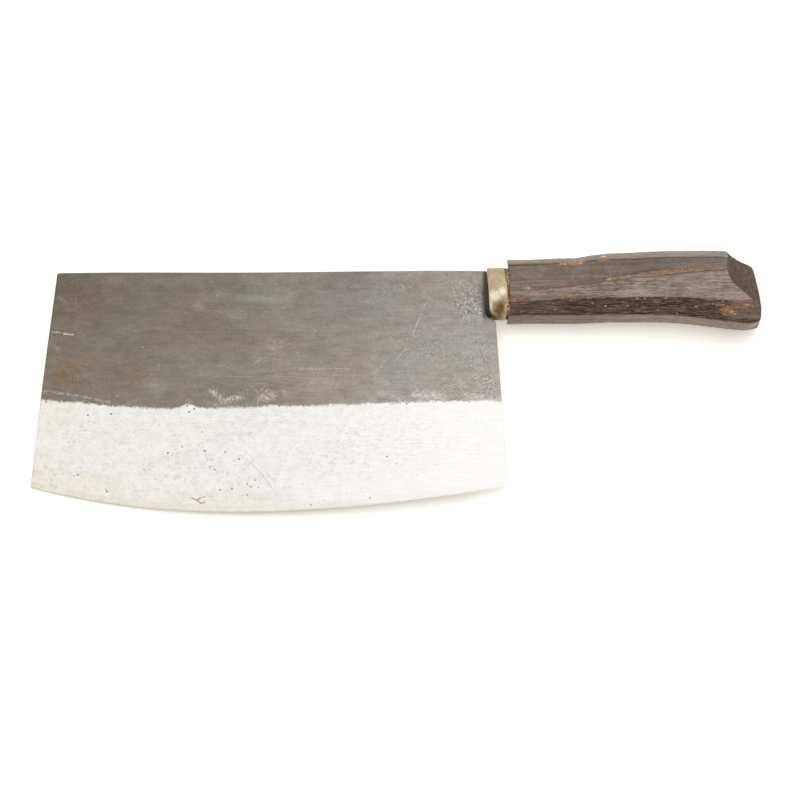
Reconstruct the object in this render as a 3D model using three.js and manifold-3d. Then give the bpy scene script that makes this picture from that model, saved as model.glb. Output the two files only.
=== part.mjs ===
// A hand-forged slicing cleaver, lying on its side as it is left on a table.
// The blade and its stick tang are one forging. The tang is bedded in resin in the bore of a whittled
// hardwood handle, and a brass ferrule stops the handle from splitting where the tang enters it.
// Units are millimetres. In the knife's own frame +X runs to the butt, +Y to the spine and the blade's
// middle plane is z = 0. The handle's axis is the X axis, and x = 0 is the shoulder of the tang.

import * as THREE from 'three';
import { mergeVertices } from 'three/addons/utils/BufferGeometryUtils.js';
import Module from 'manifold-3d';

const wasm = await Module();
wasm.setup();

// Blade outline
const spineLength = 190.6;      // from the tip to the shoulder
const spineRise = 10;           // spine above the handle's axis
const tipDepth = 97.2;          // spine down to the edge's corner at the tip
const tipLead = 7.9;            // how far that corner stands ahead of the spine's
const heelDepth = 96.3;         // spine down to the edge's corner at the heel
const heelLag = 9.8;            // how far that corner stands behind the shoulder
const heelRake = 4.4;           // lean of the heel's rear edge, in degrees
const tipSweep = 14.4;          // slope of the cutting edge at the tip, in degrees
const heelSweep = 9.3;          // slope of the cutting edge at the heel, in degrees

// Blade section
const spineThickness = 3.2;     // at the shoulder
const tipThickness = 2.2;       // at the spine's tip
const grindThickness = 2.5;     // at the grind line, below the shoulder
const grindDepthTip = 57.9;     // spine down to the grind line at the tip
const grindDepthHeel = 58.6;    // spine down to the grind line at the heel
const grindSag = 8;             // pull of the grind line towards the edge, on the tip's side
const bandThickness = 0.8;      // where the honed band meets the ground bevel
const bandWidth = 3;            // honed band along the cutting edge
const edgeThickness = 0.3;      // land left on the cutting edge

// Tang
const tangLength = 80;          // from the shoulder
const tangWidth = 11;           // at the shoulder
const tangTipWidth = 6;
const tangThickness = 2.8;      // at the shoulder
const tangTipThickness = 2;

// Ferrule
const ferruleLength = 7.6;
const ferruleHeight = 23.2;
const ferruleDepth = 20.2;
const ferruleWall = 1.1;
const ferruleCorner = 4;        // round of its front rim, on the heel's side
const ferruleRoll = 18;         // turn of its soft square section about the handle's axis, in degrees
const ferruleSquareness = 2.7;  // power of the section's curve: 2 is an ellipse

// Handle
const handleLength = 110.3;     // from its own shoulder to the butt
const frontHeight = 27.6;
const frontThickness = 25;
const frontRise = 0.35;         // middle of the section above the axis
const buttHeight = 34.9;
const buttThickness = 27.4;
const buttRise = 0.85;
const tenonInset = 0.6;         // end of the tenon, inside the ferrule's mouth
const waist = 0.5;              // hollow of the grip on the fingers' side

// Resin
const beddingWall = 0.9;        // round the tang
const beadLength = 0.4;         // squeezed out behind the ferrule

// Clearances
const seatGap = 0.4;            // blade's shoulder and notch to the ferrule
const fitGap = 0.3;             // between pieces that touch

// Counts
const bladeStations = 44;
const handleStations = 30;
const ringPoints = 64;

const radians = THREE.MathUtils.degToRad;
const { lerp, smoothstep } = THREE.MathUtils;

// Solids from closed geometry, and back

function solidFrom(geometry) {
  const bare = new THREE.BufferGeometry();
  bare.setAttribute('position', geometry.getAttribute('position'));
  bare.setIndex(geometry.getIndex());
  const merged = mergeVertices(bare, 1e-4);
  const mesh = new wasm.Mesh({
    numProp: 3,
    vertProperties: new Float32Array(merged.getAttribute('position').array),
    triVerts: new Uint32Array(merged.getIndex().array),
  });
  return new wasm.Manifold(mesh);
}

function geometryFrom(solid) {
  const mesh = solid.getMesh();
  const geometry = new THREE.BufferGeometry();
  geometry.setAttribute('position', new THREE.BufferAttribute(mesh.vertProperties, 3));
  geometry.setIndex(new THREE.BufferAttribute(mesh.triVerts, 1));
  geometry.computeVertexNormals();
  return geometry;
}

// Moves every vertex of a geometry to the place that a function gives for it.
function reshape(geometry, place) {
  const points = geometry.getAttribute('position');
  const point = new THREE.Vector3();
  for (let i = 0; i < points.count; i += 1) {
    point.fromBufferAttribute(points, i);
    const moved = place(point.clone());
    points.setXYZ(i, moved.x, moved.y, moved.z);
  }
  return geometry;
}

// A flat outline in the knife's XY plane, made a plate that reaches equally to both sides of z = 0.
function plate(outline, thickness) {
  const geometry = new THREE.ExtrudeGeometry(outline, { depth: thickness, bevelEnabled: false });
  return geometry.translate(0, 0, -thickness / 2);
}

// A section drawn as (y, z), made a bar from one x to another.
function barOf(section, from, to) {
  const geometry = new THREE.ExtrudeGeometry(section, { depth: to - from, bevelEnabled: false });
  const toKnife = new THREE.Matrix4().makeBasis(
    new THREE.Vector3(0, 1, 0),
    new THREE.Vector3(0, 0, 1),
    new THREE.Vector3(1, 0, 0),
  );
  return geometry.applyMatrix4(toKnife).translate(from, 0, 0);
}

// What lines up along the handle's axis

const ferruleFront = seatGap;
const ferruleRear = ferruleFront + ferruleLength;
const beadFront = ferruleRear + fitGap;
const beadRear = beadFront + beadLength;
const handleFront = beadRear + fitGap;
const handleButt = handleFront + handleLength;
const tenonFront = ferruleFront + tenonInset;

// The soft square that the ferrule, its bore and the tenon share, taken in by some amount all round.
function softSquare(inset) {
  const power = 2 / ferruleSquareness;
  const turn = radians(ferruleRoll);
  const bend = (value) => Math.sign(value) * Math.abs(value) ** power;
  const points = [];
  for (let i = 0; i < ringPoints; i += 1) {
    const angle = (2 * Math.PI * i) / ringPoints;
    const y = (ferruleHeight / 2 - inset) * bend(Math.cos(angle));
    const z = (ferruleDepth / 2 - inset) * bend(Math.sin(angle));
    points.push(new THREE.Vector2(y, z).rotateAround(new THREE.Vector2(), turn));
  }
  return points;
}

const ferruleLow = Math.min(...softSquare(0).map((point) => point.x));

// Blade

const spineTip = new THREE.Vector2(-spineLength, spineRise);
const edgeTip = new THREE.Vector2(-spineLength - tipLead, spineRise - tipDepth);
const edgeHeel = new THREE.Vector2(heelLag, spineRise - heelDepth);
const spineHeel = new THREE.Vector2(heelLag - heelDepth * Math.tan(radians(heelRake)), spineRise);

function cuttingEdge() {
  const reach = edgeTip.distanceTo(edgeHeel) / 3;
  const tipPull = new THREE.Vector2(reach, -reach * Math.tan(radians(tipSweep)));
  const heelPull = new THREE.Vector2(-reach, -reach * Math.tan(radians(heelSweep)));
  return new THREE.CubicBezierCurve(
    edgeTip, edgeTip.clone().add(tipPull), edgeHeel.clone().add(heelPull), edgeHeel,
  );
}

// Depth of the grind line below the spine, at a share of the way from the tip to the heel.
function grindDepth(along) {
  const straight = lerp(grindDepthTip, grindDepthHeel, along);
  return straight + grindSag * 3 * along * (1 - along) ** 2;
}

// Half the thickness of the blade's two flats, which are true planes from the spine to the grind line.
function flatHalf(x, y) {
  const toTip = -x / spineLength;
  const toGrind = (spineRise - y) / grindDepthHeel;
  const taper = (tipThickness - spineThickness) * toTip + (grindThickness - spineThickness) * toGrind;
  return (spineThickness + taper) / 2;
}

const edge = cuttingEdge();
const bladeRows = ['edge', 'honed band', 'grind line', 'spine'];

// A place on the blade's upper side: a share of the way from the tip to the heel, on one of its rows.
function bladePoint(along, row) {
  const low = edge.getPoint(along);
  const up = spineTip.clone().lerp(spineHeel, along).sub(low);
  const shares = [0, bandWidth / up.length(), 1 - grindDepth(along) / up.y, 1];
  const place = low.addScaledVector(up, shares[row]);
  const flat = flatHalf(place.x, place.y);
  const halves = [edgeThickness / 2, bandThickness / 2, flat, flat];
  return new THREE.Vector3(place.x, place.y, halves[row]);
}

function bladePlate() {
  const steps = bladeRows.length - 1;
  const grid = new THREE.BoxGeometry(1, 1, 2, bladeStations, steps, 1);
  return reshape(grid, (point) => {
    const place = bladePoint(point.x + 0.5, Math.round((point.y + 0.5) * steps));
    place.z *= Math.sign(point.z);
    return place;
  });
}

// The corner above the heel, cleared for the ferrule, with a round that runs beside the ferrule's own.
function shoulderNotch() {
  const round = ferruleCorner + seatGap;
  const floor = ferruleLow - seatGap;
  const past = heelLag + ferruleLength;
  const above = spineRise + ferruleHeight;
  const outline = new THREE.Shape();
  outline.moveTo(0, above);
  outline.lineTo(0, floor + round);
  outline.absarc(round, floor + round, round, Math.PI, 1.5 * Math.PI, false);
  outline.lineTo(past, floor);
  outline.lineTo(past, above);
  return plate(outline, spineThickness * 2);
}

// A straight four-sided bar that tapers to its tip. Extra size goes on each side and on the far end.
function tangBar(from, extra) {
  const to = tangLength + extra;
  return reshape(new THREE.BoxGeometry(to - from, 1, 1), (point) => {
    const x = point.x + (from + to) / 2;
    const along = x / tangLength;
    const width = lerp(tangWidth, tangTipWidth, along) + 2 * extra;
    const thickness = lerp(tangThickness, tangTipThickness, along) + 2 * extra;
    return new THREE.Vector3(x, point.y * width, point.z * thickness);
  });
}

function makeBlade() {
  const root = -tangWidth / 2;
  const plateSolid = solidFrom(bladePlate()).subtract(solidFrom(shoulderNotch()));
  return geometryFrom(plateSolid.add(solidFrom(tangBar(root, 0))));
}

// Ferrule

function ringSection(outerInset, innerInset) {
  const section = new THREE.Shape(softSquare(outerInset));
  section.holes.push(new THREE.Path(softSquare(innerInset).reverse()));
  return section;
}

// Rounds the front of a bar back on the heel's side, so that it nests in the blade's notch.
function roundFront(bar) {
  const centre = ferruleLow + ferruleCorner;
  return reshape(bar, (point) => {
    const below = THREE.MathUtils.clamp(centre - point.y, 0, ferruleCorner);
    const back = ferruleCorner - Math.sqrt(ferruleCorner ** 2 - below ** 2);
    if (point.x < (ferruleFront + ferruleRear) / 2) point.x += back;
    return point;
  });
}

function makeFerrule() {
  return roundFront(barOf(ringSection(0, ferruleWall), ferruleFront, ferruleRear));
}

// Handle

// Where the grip swells on its way to the butt, as shares of its length: early along its back and late on
// the fingers' side. One ridge wanders over the upper face in between.
const backSwell = [0.05, 0.66];
const fingerSwell = [0.62, 0.97];
const ridgeWander = [0, 0.87];

// Ridges between the whittled facets, from the back of the handle over the upper face to the fingers' side
// and round underneath. Each is a place in the section, as shares of its half height and half thickness.
const ridges = [
  { name: 'back upper', across: 1, deep: 0.38, swell: backSwell },
  { name: 'back chamfer', across: 0.79, deep: 0.65, swell: backSwell },
  { name: 'wandering', across: -0.11, deep: 0.98, swell: backSwell, buttAcross: 0.5 },
  { name: 'palm', across: -0.45, deep: 0.96, swell: fingerSwell },
  { name: 'finger', across: -0.86, deep: 0.47, swell: fingerSwell, buttAcross: -0.92 },
  { name: 'lowest', across: -1, deep: -0.1, swell: fingerSwell },
  { name: 'under finger', across: -0.85, deep: -0.62, swell: fingerSwell },
  { name: 'under palm', across: -0.4, deep: -0.96, swell: fingerSwell },
  { name: 'under middle', across: 0.38, deep: -1, swell: backSwell },
  { name: 'under chamfer', across: 0.84, deep: -0.64, swell: backSwell },
  { name: 'back lower', across: 1, deep: -0.14, swell: backSwell },
];

function ridgePoint(ridge, along) {
  const height = lerp(frontHeight, buttHeight, smoothstep(along, ...ridge.swell));
  const thickness = lerp(frontThickness, buttThickness, along);
  const end = ridge.buttAcross ?? ridge.across;
  const across = lerp(ridge.across, end, smoothstep(along, ...ridgeWander));
  const hollow = ridge.swell === fingerSwell ? waist * Math.sin(Math.PI * along) : 0;
  const middle = lerp(frontRise, buttRise, along) + hollow;
  return new THREE.Vector2(middle + (across * height) / 2, (ridge.deep * thickness) / 2);
}

// A cylinder with one side for each facet, whose corners follow the ridges.
function handleBlank() {
  const sides = ridges.length;
  const stick = new THREE.CylinderGeometry(1, 1, 1, sides, handleStations);
  return reshape(stick, (point) => {
    const along = point.y + 0.5;
    const x = lerp(handleFront, handleButt, along);
    if (Math.hypot(point.x, point.z) < 0.5) return new THREE.Vector3(x, 0, 0);
    const turn = Math.atan2(point.x, point.z) / (2 * Math.PI);
    const side = (Math.round(turn * sides) + sides) % sides;
    const corner = ridgePoint(ridges[side], along);
    return new THREE.Vector3(x, corner.x, corner.y);
  });
}

// Knife cuts that shape the butt. Each plane has its way out, and its distance from the butt's centre. A cut
// takes what lies beyond all of its planes, so the two of the hollow leave a valley where they meet.
const buttCuts = [
  {
    name: 'hollow',
    planes: [{ out: [0.97, 0.05, 0.24], reach: -10.5 }, { out: [0.54, 0.59, 0.6], reach: 1.5 }],
  },
  { name: 'heel corner', planes: [{ out: [0.4, -0.92, -0.05], reach: 12 }] },
  { name: 'slant', planes: [{ out: [1, 0.13, 0], reach: -0.45 }] },
];

// A block beyond one plane, larger than the handle.
function blockBeyond(plane) {
  const size = 2 * handleLength;
  const out = new THREE.Vector3(...plane.out).normalize();
  const block = new THREE.BoxGeometry(size, size, size);
  const turn = new THREE.Quaternion().setFromUnitVectors(new THREE.Vector3(1, 0, 0), out);
  const centre = new THREE.Vector3(handleButt, 0, 0).addScaledVector(out, plane.reach + size / 2);
  return block.applyQuaternion(turn).translate(centre.x, centre.y, centre.z);
}

function buttCutter(cut) {
  const blocks = cut.planes.map((plane) => solidFrom(blockBeyond(plane)));
  return blocks.reduce((both, block) => both.intersect(block));
}

function makeHandle() {
  const tenonSection = new THREE.Shape(softSquare(ferruleWall + fitGap));
  const tenon = roundFront(barOf(tenonSection, tenonFront, handleFront + tenonInset));
  const bore = tangBar(0, beddingWall + 2 * fitGap);
  let solid = solidFrom(handleBlank());
  for (const cut of buttCuts) {
    solid = solid.subtract(buttCutter(cut));
  }
  solid = solid.add(solidFrom(tenon)).subtract(solidFrom(bore));
  return geometryFrom(solid);
}

// Resin

// A blind sleeve between the tang and the handle's bore, level with the end of the tenon.
function makeBedding() {
  const outer = solidFrom(tangBar(tenonFront, beddingWall + fitGap));
  const inner = solidFrom(tangBar(0, fitGap));
  return geometryFrom(outer.subtract(inner));
}

// The collar that was squeezed out between the ferrule's rear rim and the handle's shoulder.
function makeBead() {
  return barOf(ringSection(fitGap, ferruleWall), beadFront, beadRear);
}

// Assembly

const steel = new THREE.MeshStandardMaterial({ color: 0x8b8379, roughness: 0.5, metalness: 0.85 });
const brass = new THREE.MeshStandardMaterial({ color: 0xb8a678, roughness: 0.35, metalness: 1 });
const wood = new THREE.MeshStandardMaterial({ color: 0x6a574c, roughness: 0.55, metalness: 0 });
const resin = new THREE.MeshStandardMaterial({ color: 0x8a5a30, roughness: 0.4, metalness: 0 });

function piece(name, geometry, material) {
  const mesh = new THREE.Mesh(geometry, material);
  mesh.name = name;
  return mesh;
}

const knife = new THREE.Group();
knife.add(
  piece('blade', makeBlade(), steel),
  piece('ferrule', makeFerrule(), brass),
  piece('handle', makeHandle(), wood),
  piece('tang_bedding', makeBedding(), resin),
  piece('ferrule_bead', makeBead(), resin),
);

// The table carries the honed band's corner at the tip and the front end of the handle's underside.
function wayUp() {
  const tipCorner = bladePoint(0, bladeRows.indexOf('honed band'));
  tipCorner.z *= -1;
  const [toPalm, toMiddle] = ['under palm', 'under middle'].map((name) => {
    const corner = ridgePoint(ridges.find((ridge) => ridge.name === name), 0);
    return new THREE.Vector3(handleFront, corner.x, corner.y).sub(tipCorner);
  });
  return toPalm.cross(toMiddle).normalize();
}

// The table is z = 0, and the origin lies on it under the middle of the knife.
function layDown(group) {
  group.quaternion.setFromUnitVectors(wayUp(), new THREE.Vector3(0, 0, 1));
  group.updateMatrixWorld(true);
  const box = new THREE.Box3().setFromObject(group, true);
  const middle = box.getCenter(new THREE.Vector3());
  group.position.set(-middle.x, -middle.y, -box.min.z);
}

layDown(knife);

const cleaver = new THREE.Group();
cleaver.name = 'cleaver';
cleaver.add(knife);

export default cleaver;
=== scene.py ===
import math

import bmesh
import bpy
import numpy as np
from mathutils import Matrix, Vector, noise


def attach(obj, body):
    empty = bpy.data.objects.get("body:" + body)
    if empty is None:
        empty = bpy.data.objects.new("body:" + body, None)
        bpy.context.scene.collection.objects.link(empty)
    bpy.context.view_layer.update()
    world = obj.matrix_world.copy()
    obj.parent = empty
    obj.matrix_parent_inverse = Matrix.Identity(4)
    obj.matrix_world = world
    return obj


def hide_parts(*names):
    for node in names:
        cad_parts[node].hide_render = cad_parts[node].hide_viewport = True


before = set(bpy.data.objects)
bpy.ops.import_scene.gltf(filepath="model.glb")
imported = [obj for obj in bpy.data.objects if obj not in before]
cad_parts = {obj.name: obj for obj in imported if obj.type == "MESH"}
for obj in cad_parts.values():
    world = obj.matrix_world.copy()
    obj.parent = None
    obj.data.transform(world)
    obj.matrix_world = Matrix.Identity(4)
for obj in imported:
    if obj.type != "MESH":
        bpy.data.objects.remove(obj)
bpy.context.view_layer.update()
bpy.context.scene.view_settings.view_transform = "Standard"
print("frame loaded:", ", ".join(sorted(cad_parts)))

# The knife's own frame, in millimetres: x to the butt, y to the spine, z = 0 in the middle of the blade.
knife = {
    "x": (0.99927, -0.000886, 0.038185),
    "y": (-0.000886, 0.998924, 0.046367),
    "z": (-0.038185, -0.046367, 0.998194),
    "at": (39.28065, 39.747493, 11.874382),
    "perMetre": 1000.0,
}
knifeTurn = Matrix((knife["x"], knife["y"], knife["z"])).transposed()
knifeToRow = Matrix.Scale(1 / knife["perMetre"], 4) @ Matrix.Translation(knife["at"]) @ knifeTurn.to_4x4()
rowToKnife = knifeToRow.inverted()


# Small sums

def mix(a, b, share):
    return a + (b - a) * share


def between(value):
    return np.clip(value, 0.0, 1.0)


def ease(value, low, high):
    share = between((value - low) / (high - low))
    return share * share * (3 - 2 * share)


def noiseAt(points, lengths, seed):
    stretched = points / np.array(lengths) + np.array((seed, -seed * 1.7, seed * 0.6))
    return np.array([noise.noise(Vector(p)) for p in stretched])


# Node helpers

def addNode(tree, kind, **settings):
    node = tree.nodes.new(kind)
    for name, value in settings.items():
        setattr(node, name, value)
    return node


def feed(tree, socket, value):
    if isinstance(value, bpy.types.NodeSocket):
        tree.links.new(value, socket)
    else:
        socket.default_value = value


def maths(tree, operation, *values):
    node = addNode(tree, "ShaderNodeMath", operation=operation)
    for socket, value in zip(node.inputs, values):
        feed(tree, socket, value)
    return node.outputs[0]


def chain(tree, operation, values):
    total = values[0]
    for value in values[1:]:
        total = maths(tree, operation, total, value)
    return total


def times(tree, *values):
    return chain(tree, "MULTIPLY", values)


def plus(tree, *values):
    return chain(tree, "ADD", values)


def most(tree, *values):
    return chain(tree, "MAXIMUM", values)


def minus(tree, value, less):
    return maths(tree, "SUBTRACT", value, less)


def vectorMaths(tree, operation, *values):
    node = addNode(tree, "ShaderNodeVectorMath", operation=operation)
    for socket, value in zip(node.inputs, values):
        feed(tree, socket, value)
    return node.outputs["Value" if operation in ("LENGTH", "DISTANCE", "DOT_PRODUCT") else "Vector"]


def remap(tree, value, low, high, toLow=0.0, toHigh=1.0, kind="SMOOTHSTEP"):
    node = addNode(tree, "ShaderNodeMapRange", interpolation_type=kind)
    for socket, given in zip(node.inputs[:5], (value, low, high, toLow, toHigh)):
        feed(tree, socket, given)
    return node.outputs[0]


def tint(tree, share, under, over, mode="MIX"):
    node = addNode(tree, "ShaderNodeMix", data_type="RGBA", blend_type=mode)
    feed(tree, node.inputs[0], share)
    feed(tree, node.inputs[6], under if not isinstance(under, tuple) else (*under, 1.0))
    feed(tree, node.inputs[7], over if not isinstance(over, tuple) else (*over, 1.0))
    return node.outputs[2]


def scaleColour(tree, colour, value):
    grey = addNode(tree, "ShaderNodeCombineXYZ")
    for socket in grey.inputs:
        feed(tree, socket, value)
    return tint(tree, 1.0, colour, grey.outputs[0], "MULTIPLY")


def blendValue(tree, share, under, over):
    node = addNode(tree, "ShaderNodeMix", data_type="FLOAT")
    for index, given in ((0, share), (2, under), (3, over)):
        feed(tree, node.inputs[index], given)
    return node.outputs[0]


def colourRun(tree, value, stops):
    node = addNode(tree, "ShaderNodeValToRGB")
    ramp = node.color_ramp
    while len(ramp.elements) < len(stops):
        ramp.elements.new(0.5)
    for element, (place, colour) in zip(ramp.elements, stops):
        element.position = place
        element.color = (*colour, 1.0)
    feed(tree, node.inputs[0], value)
    return node.outputs[0]


def splitPlace(tree, place):
    node = addNode(tree, "ShaderNodeSeparateXYZ")
    feed(tree, node.inputs[0], place)
    return node.outputs[0], node.outputs[1], node.outputs[2]


def joinPlace(tree, x, y, z):
    node = addNode(tree, "ShaderNodeCombineXYZ")
    for socket, value in zip(node.inputs, (x, y, z)):
        feed(tree, socket, value)
    return node.outputs[0]


def attribute(tree, name):
    return addNode(tree, "ShaderNodeAttribute", attribute_name=name).outputs["Fac"]


def knifePlace(tree):
    coords = addNode(tree, "ShaderNodeTexCoord")
    mapping = addNode(tree, "ShaderNodeMapping", vector_type="POINT")
    back = knifeTurn.transposed()
    mapping.inputs["Scale"].default_value = (knife["perMetre"],) * 3
    mapping.inputs["Rotation"].default_value = back.to_euler()
    mapping.inputs["Location"].default_value = -(back @ Vector(knife["at"]))
    tree.links.new(coords.outputs["Object"], mapping.inputs["Vector"])
    return mapping.outputs["Vector"]


def newGroup(name, inputs):
    tree = bpy.data.node_groups.new(name, "ShaderNodeTree")
    for label, value in inputs:
        kind = "NodeSocketVector" if isinstance(value, tuple) else "NodeSocketFloat"
        tree.interface.new_socket(label, in_out="INPUT", socket_type=kind).default_value = value
    tree.interface.new_socket("Value", in_out="OUTPUT", socket_type="NodeSocketFloat")
    entry = addNode(tree, "NodeGroupInput")
    return tree, entry.outputs, addNode(tree, "NodeGroupOutput").inputs[0]


def useGroup(tree, group, **values):
    node = addNode(tree, "ShaderNodeGroup", node_tree=group)
    for label, value in values.items():
        feed(tree, node.inputs[label], value)
    return node.outputs[0]


def newMaterial(name):
    material = bpy.data.materials.new(name)
    material.use_nodes = True
    tree = material.node_tree
    shader = tree.nodes["Principled BSDF"]
    return material, tree, shader


def addBump(tree, shader, height, strength, depth):
    node = addNode(tree, "ShaderNodeBump")
    node.inputs["Strength"].default_value = strength
    node.inputs["Distance"].default_value = depth / knife["perMetre"]
    tree.links.new(height, node.inputs["Height"])
    tree.links.new(node.outputs[0], shader.inputs["Normal"])


# Effects that several finishes share

def addNoise(tree, place, scale, detail, roughness=0.5):
    node = addNode(tree, "ShaderNodeTexNoise")
    given = {"Vector": place, "Scale": scale, "Detail": detail, "Roughness": roughness}
    for label, value in given.items():
        feed(tree, node.inputs[label], value)
    return node.outputs[0]


def shiftBySeed(tree, place, given):
    return vectorMaths(tree, "ADD", place, joinPlace(tree, *[given["Seed"]] * 3))


def makeStreaks():
    tree, given, result = newGroup("long streaks", [
        ("Vector", (0.0, 0.0, 0.0)), ("Along", 10.0), ("Across", 0.5), ("Seed", 0.0)])
    lengths = (given["Along"], given["Across"], given["Across"])
    place = joinPlace(tree, *[
        maths(tree, "DIVIDE", value, length)
        for value, length in zip(splitPlace(tree, given["Vector"]), lengths)])
    grain = addNoise(tree, shiftBySeed(tree, place, given), 1.0, 2.5)
    tree.links.new(remap(tree, grain, 0.25, 0.75, kind="LINEAR"), result)
    return tree


def makePatches():
    tree, given, result = newGroup("soft patches", [
        ("Vector", (0.0, 0.0, 0.0)), ("Size", 10.0), ("Low", 0.4), ("High", 0.6), ("Seed", 0.0)])
    scale = maths(tree, "DIVIDE", 1.0, given["Size"])
    cloud = addNoise(tree, shiftBySeed(tree, given["Vector"], given), scale, 3.0, 0.55)
    tree.links.new(remap(tree, cloud, given["Low"], given["High"]), result)
    return tree


def makeSpecks():
    tree, given, result = newGroup("scattered specks", [
        ("Vector", (0.0, 0.0, 0.0)), ("Size", 2.0), ("Share", 0.3), ("Radius", 0.3), ("Stretch", 1.0)])
    x, y, z = splitPlace(tree, given["Vector"])
    place = joinPlace(tree, maths(tree, "DIVIDE", x, given["Stretch"]), y, z)
    scale = maths(tree, "DIVIDE", 1.0, given["Size"])
    cells = addNode(tree, "ShaderNodeTexVoronoi", feature="F1")
    tree.links.new(place, cells.inputs["Vector"])
    tree.links.new(scale, cells.inputs["Scale"])
    lot = splitPlace(tree, cells.outputs["Color"])
    held = maths(tree, "LESS_THAN", lot[0], given["Share"])
    radius = times(tree, given["Radius"], plus(tree, lot[1], 0.4))
    dot = remap(tree, cells.outputs["Distance"], radius, times(tree, radius, 0.4))
    tree.links.new(times(tree, held, dot), result)
    return tree


def makeStroke():
    tree, given, result = newGroup("single stroke", [
        ("Vector", (0.0, 0.0, 0.0)), ("Start", (0.0, 0.0, 0.0)), ("End", (1.0, 0.0, 0.0)),
        ("Width", 0.4), ("Ragged", 0.2), ("Strength", 1.0)])
    run = vectorMaths(tree, "SUBTRACT", given["End"], given["Start"])
    off = vectorMaths(tree, "SUBTRACT", given["Vector"], given["Start"])
    length = most(tree, vectorMaths(tree, "DOT_PRODUCT", run, run), 0.0001)
    along = maths(tree, "DIVIDE", vectorMaths(tree, "DOT_PRODUCT", off, run), length)
    share = addNode(tree, "ShaderNodeClamp")
    tree.links.new(along, share.inputs[0])
    spread = addNode(tree, "ShaderNodeVectorMath", operation="SCALE")
    tree.links.new(run, spread.inputs[0])
    tree.links.new(share.outputs[0], spread.inputs["Scale"])
    gap = vectorMaths(tree, "DISTANCE", off, spread.outputs[0])
    fray = addNoise(tree, given["Vector"], 1.3, 2.0)
    reach = plus(tree, gap, times(tree, minus(tree, fray, 0.45), given["Ragged"]))
    half = times(tree, given["Width"], 0.5)
    mark = remap(tree, reach, half, times(tree, half, 0.2))
    tree.links.new(times(tree, mark, given["Strength"]), result)
    return tree


def makeBlot():
    tree, given, result = newGroup("soft blot", [
        ("Vector", (0.0, 0.0, 0.0)), ("Centre", (0.0, 0.0, 0.0)), ("Reach", (1.0, 1.0, 1.0)),
        ("Ragged", 0.5), ("Grain", 3.0), ("Strength", 1.0)])
    off = vectorMaths(tree, "SUBTRACT", given["Vector"], given["Centre"])
    off = vectorMaths(tree, "DIVIDE", off, given["Reach"])
    cloud = addNoise(tree, given["Vector"], maths(tree, "DIVIDE", 1.0, given["Grain"]), 4.0, 0.65)
    frayed = times(tree, minus(tree, cloud, 0.5), given["Ragged"], 2.0)
    reach = plus(tree, vectorMaths(tree, "LENGTH", off), frayed)
    tree.links.new(times(tree, remap(tree, reach, 1.0, 0.15), given["Strength"]), result)
    return tree


def makeStrands():
    tree, given, result = newGroup("curly strands", [
        ("Vector", (0.0, 0.0, 0.0)), ("Size", 2.0), ("Thin", 0.06), ("Seed", 0.0)])
    scale = maths(tree, "DIVIDE", 1.0, given["Size"])
    curl = addNoise(tree, shiftBySeed(tree, given["Vector"], given), scale, 1.0)
    away = maths(tree, "ABSOLUTE", minus(tree, curl, 0.5))
    tree.links.new(remap(tree, away, given["Thin"], times(tree, given["Thin"], 0.35)), result)
    return tree


streaks = makeStreaks()
patches = makePatches()
specks = makeSpecks()
stroke = makeStroke()
blot = makeBlot()
strands = makeStrands()


def streaksAt(tree, place, along, across, seed):
    return useGroup(tree, streaks, Vector=place, Along=along, Across=across, Seed=seed)


def patchesAt(tree, place, size, low, high, seed=0.0):
    return useGroup(tree, patches, Vector=place, Size=size, Low=low, High=high, Seed=seed)


def specksAt(tree, place, size, share, radius, stretch=1.0):
    return useGroup(tree, specks, Vector=place, Size=size, Share=share, Radius=radius, Stretch=stretch)


def strokesOn(tree, place, rows):
    # each mark is joined to the others at once: kept apart, they would overfill the shader
    total = None
    for x1, y1, x2, y2, width, ragged, strength in rows:
        mark = useGroup(
            tree, stroke, Vector=place, Start=(x1, y1, 0.0), End=(x2, y2, 0.0),
            Width=width, Ragged=ragged, Strength=strength)
        total = mark if total is None else most(tree, total, mark)
    return total


def blotsOn(tree, place, rows):
    total = None
    for x, y, reachX, reachY, ragged, grain, strength in rows:
        mark = useGroup(
            tree, blot, Vector=place, Centre=(x, y, 0.0), Reach=(reachX, reachY, 20.0),
            Ragged=ragged, Grain=grain, Strength=strength)
        total = mark if total is None else most(tree, total, mark)
    return total


def turnedStreaks(tree, place, angle, along, across, seed):
    turned = addNode(tree, "ShaderNodeMapping", vector_type="POINT")
    turned.inputs["Rotation"].default_value = (0.0, 0.0, math.radians(angle))
    tree.links.new(place, turned.inputs["Vector"])
    return streaksAt(tree, turned.outputs[0], along, across, seed)


def hatch(tree, place, angle, along, across, seed, low, high):
    return remap(tree, turnedStreaks(tree, place, angle, along, across, seed), low, high)


def shade(tree, colour, value, low, high):
    return scaleColour(tree, colour, remap(tree, value, 0.0, 1.0, low, high, "LINEAR"))


# Blade: forged flat above the grind line, ground bevel below it

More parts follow.
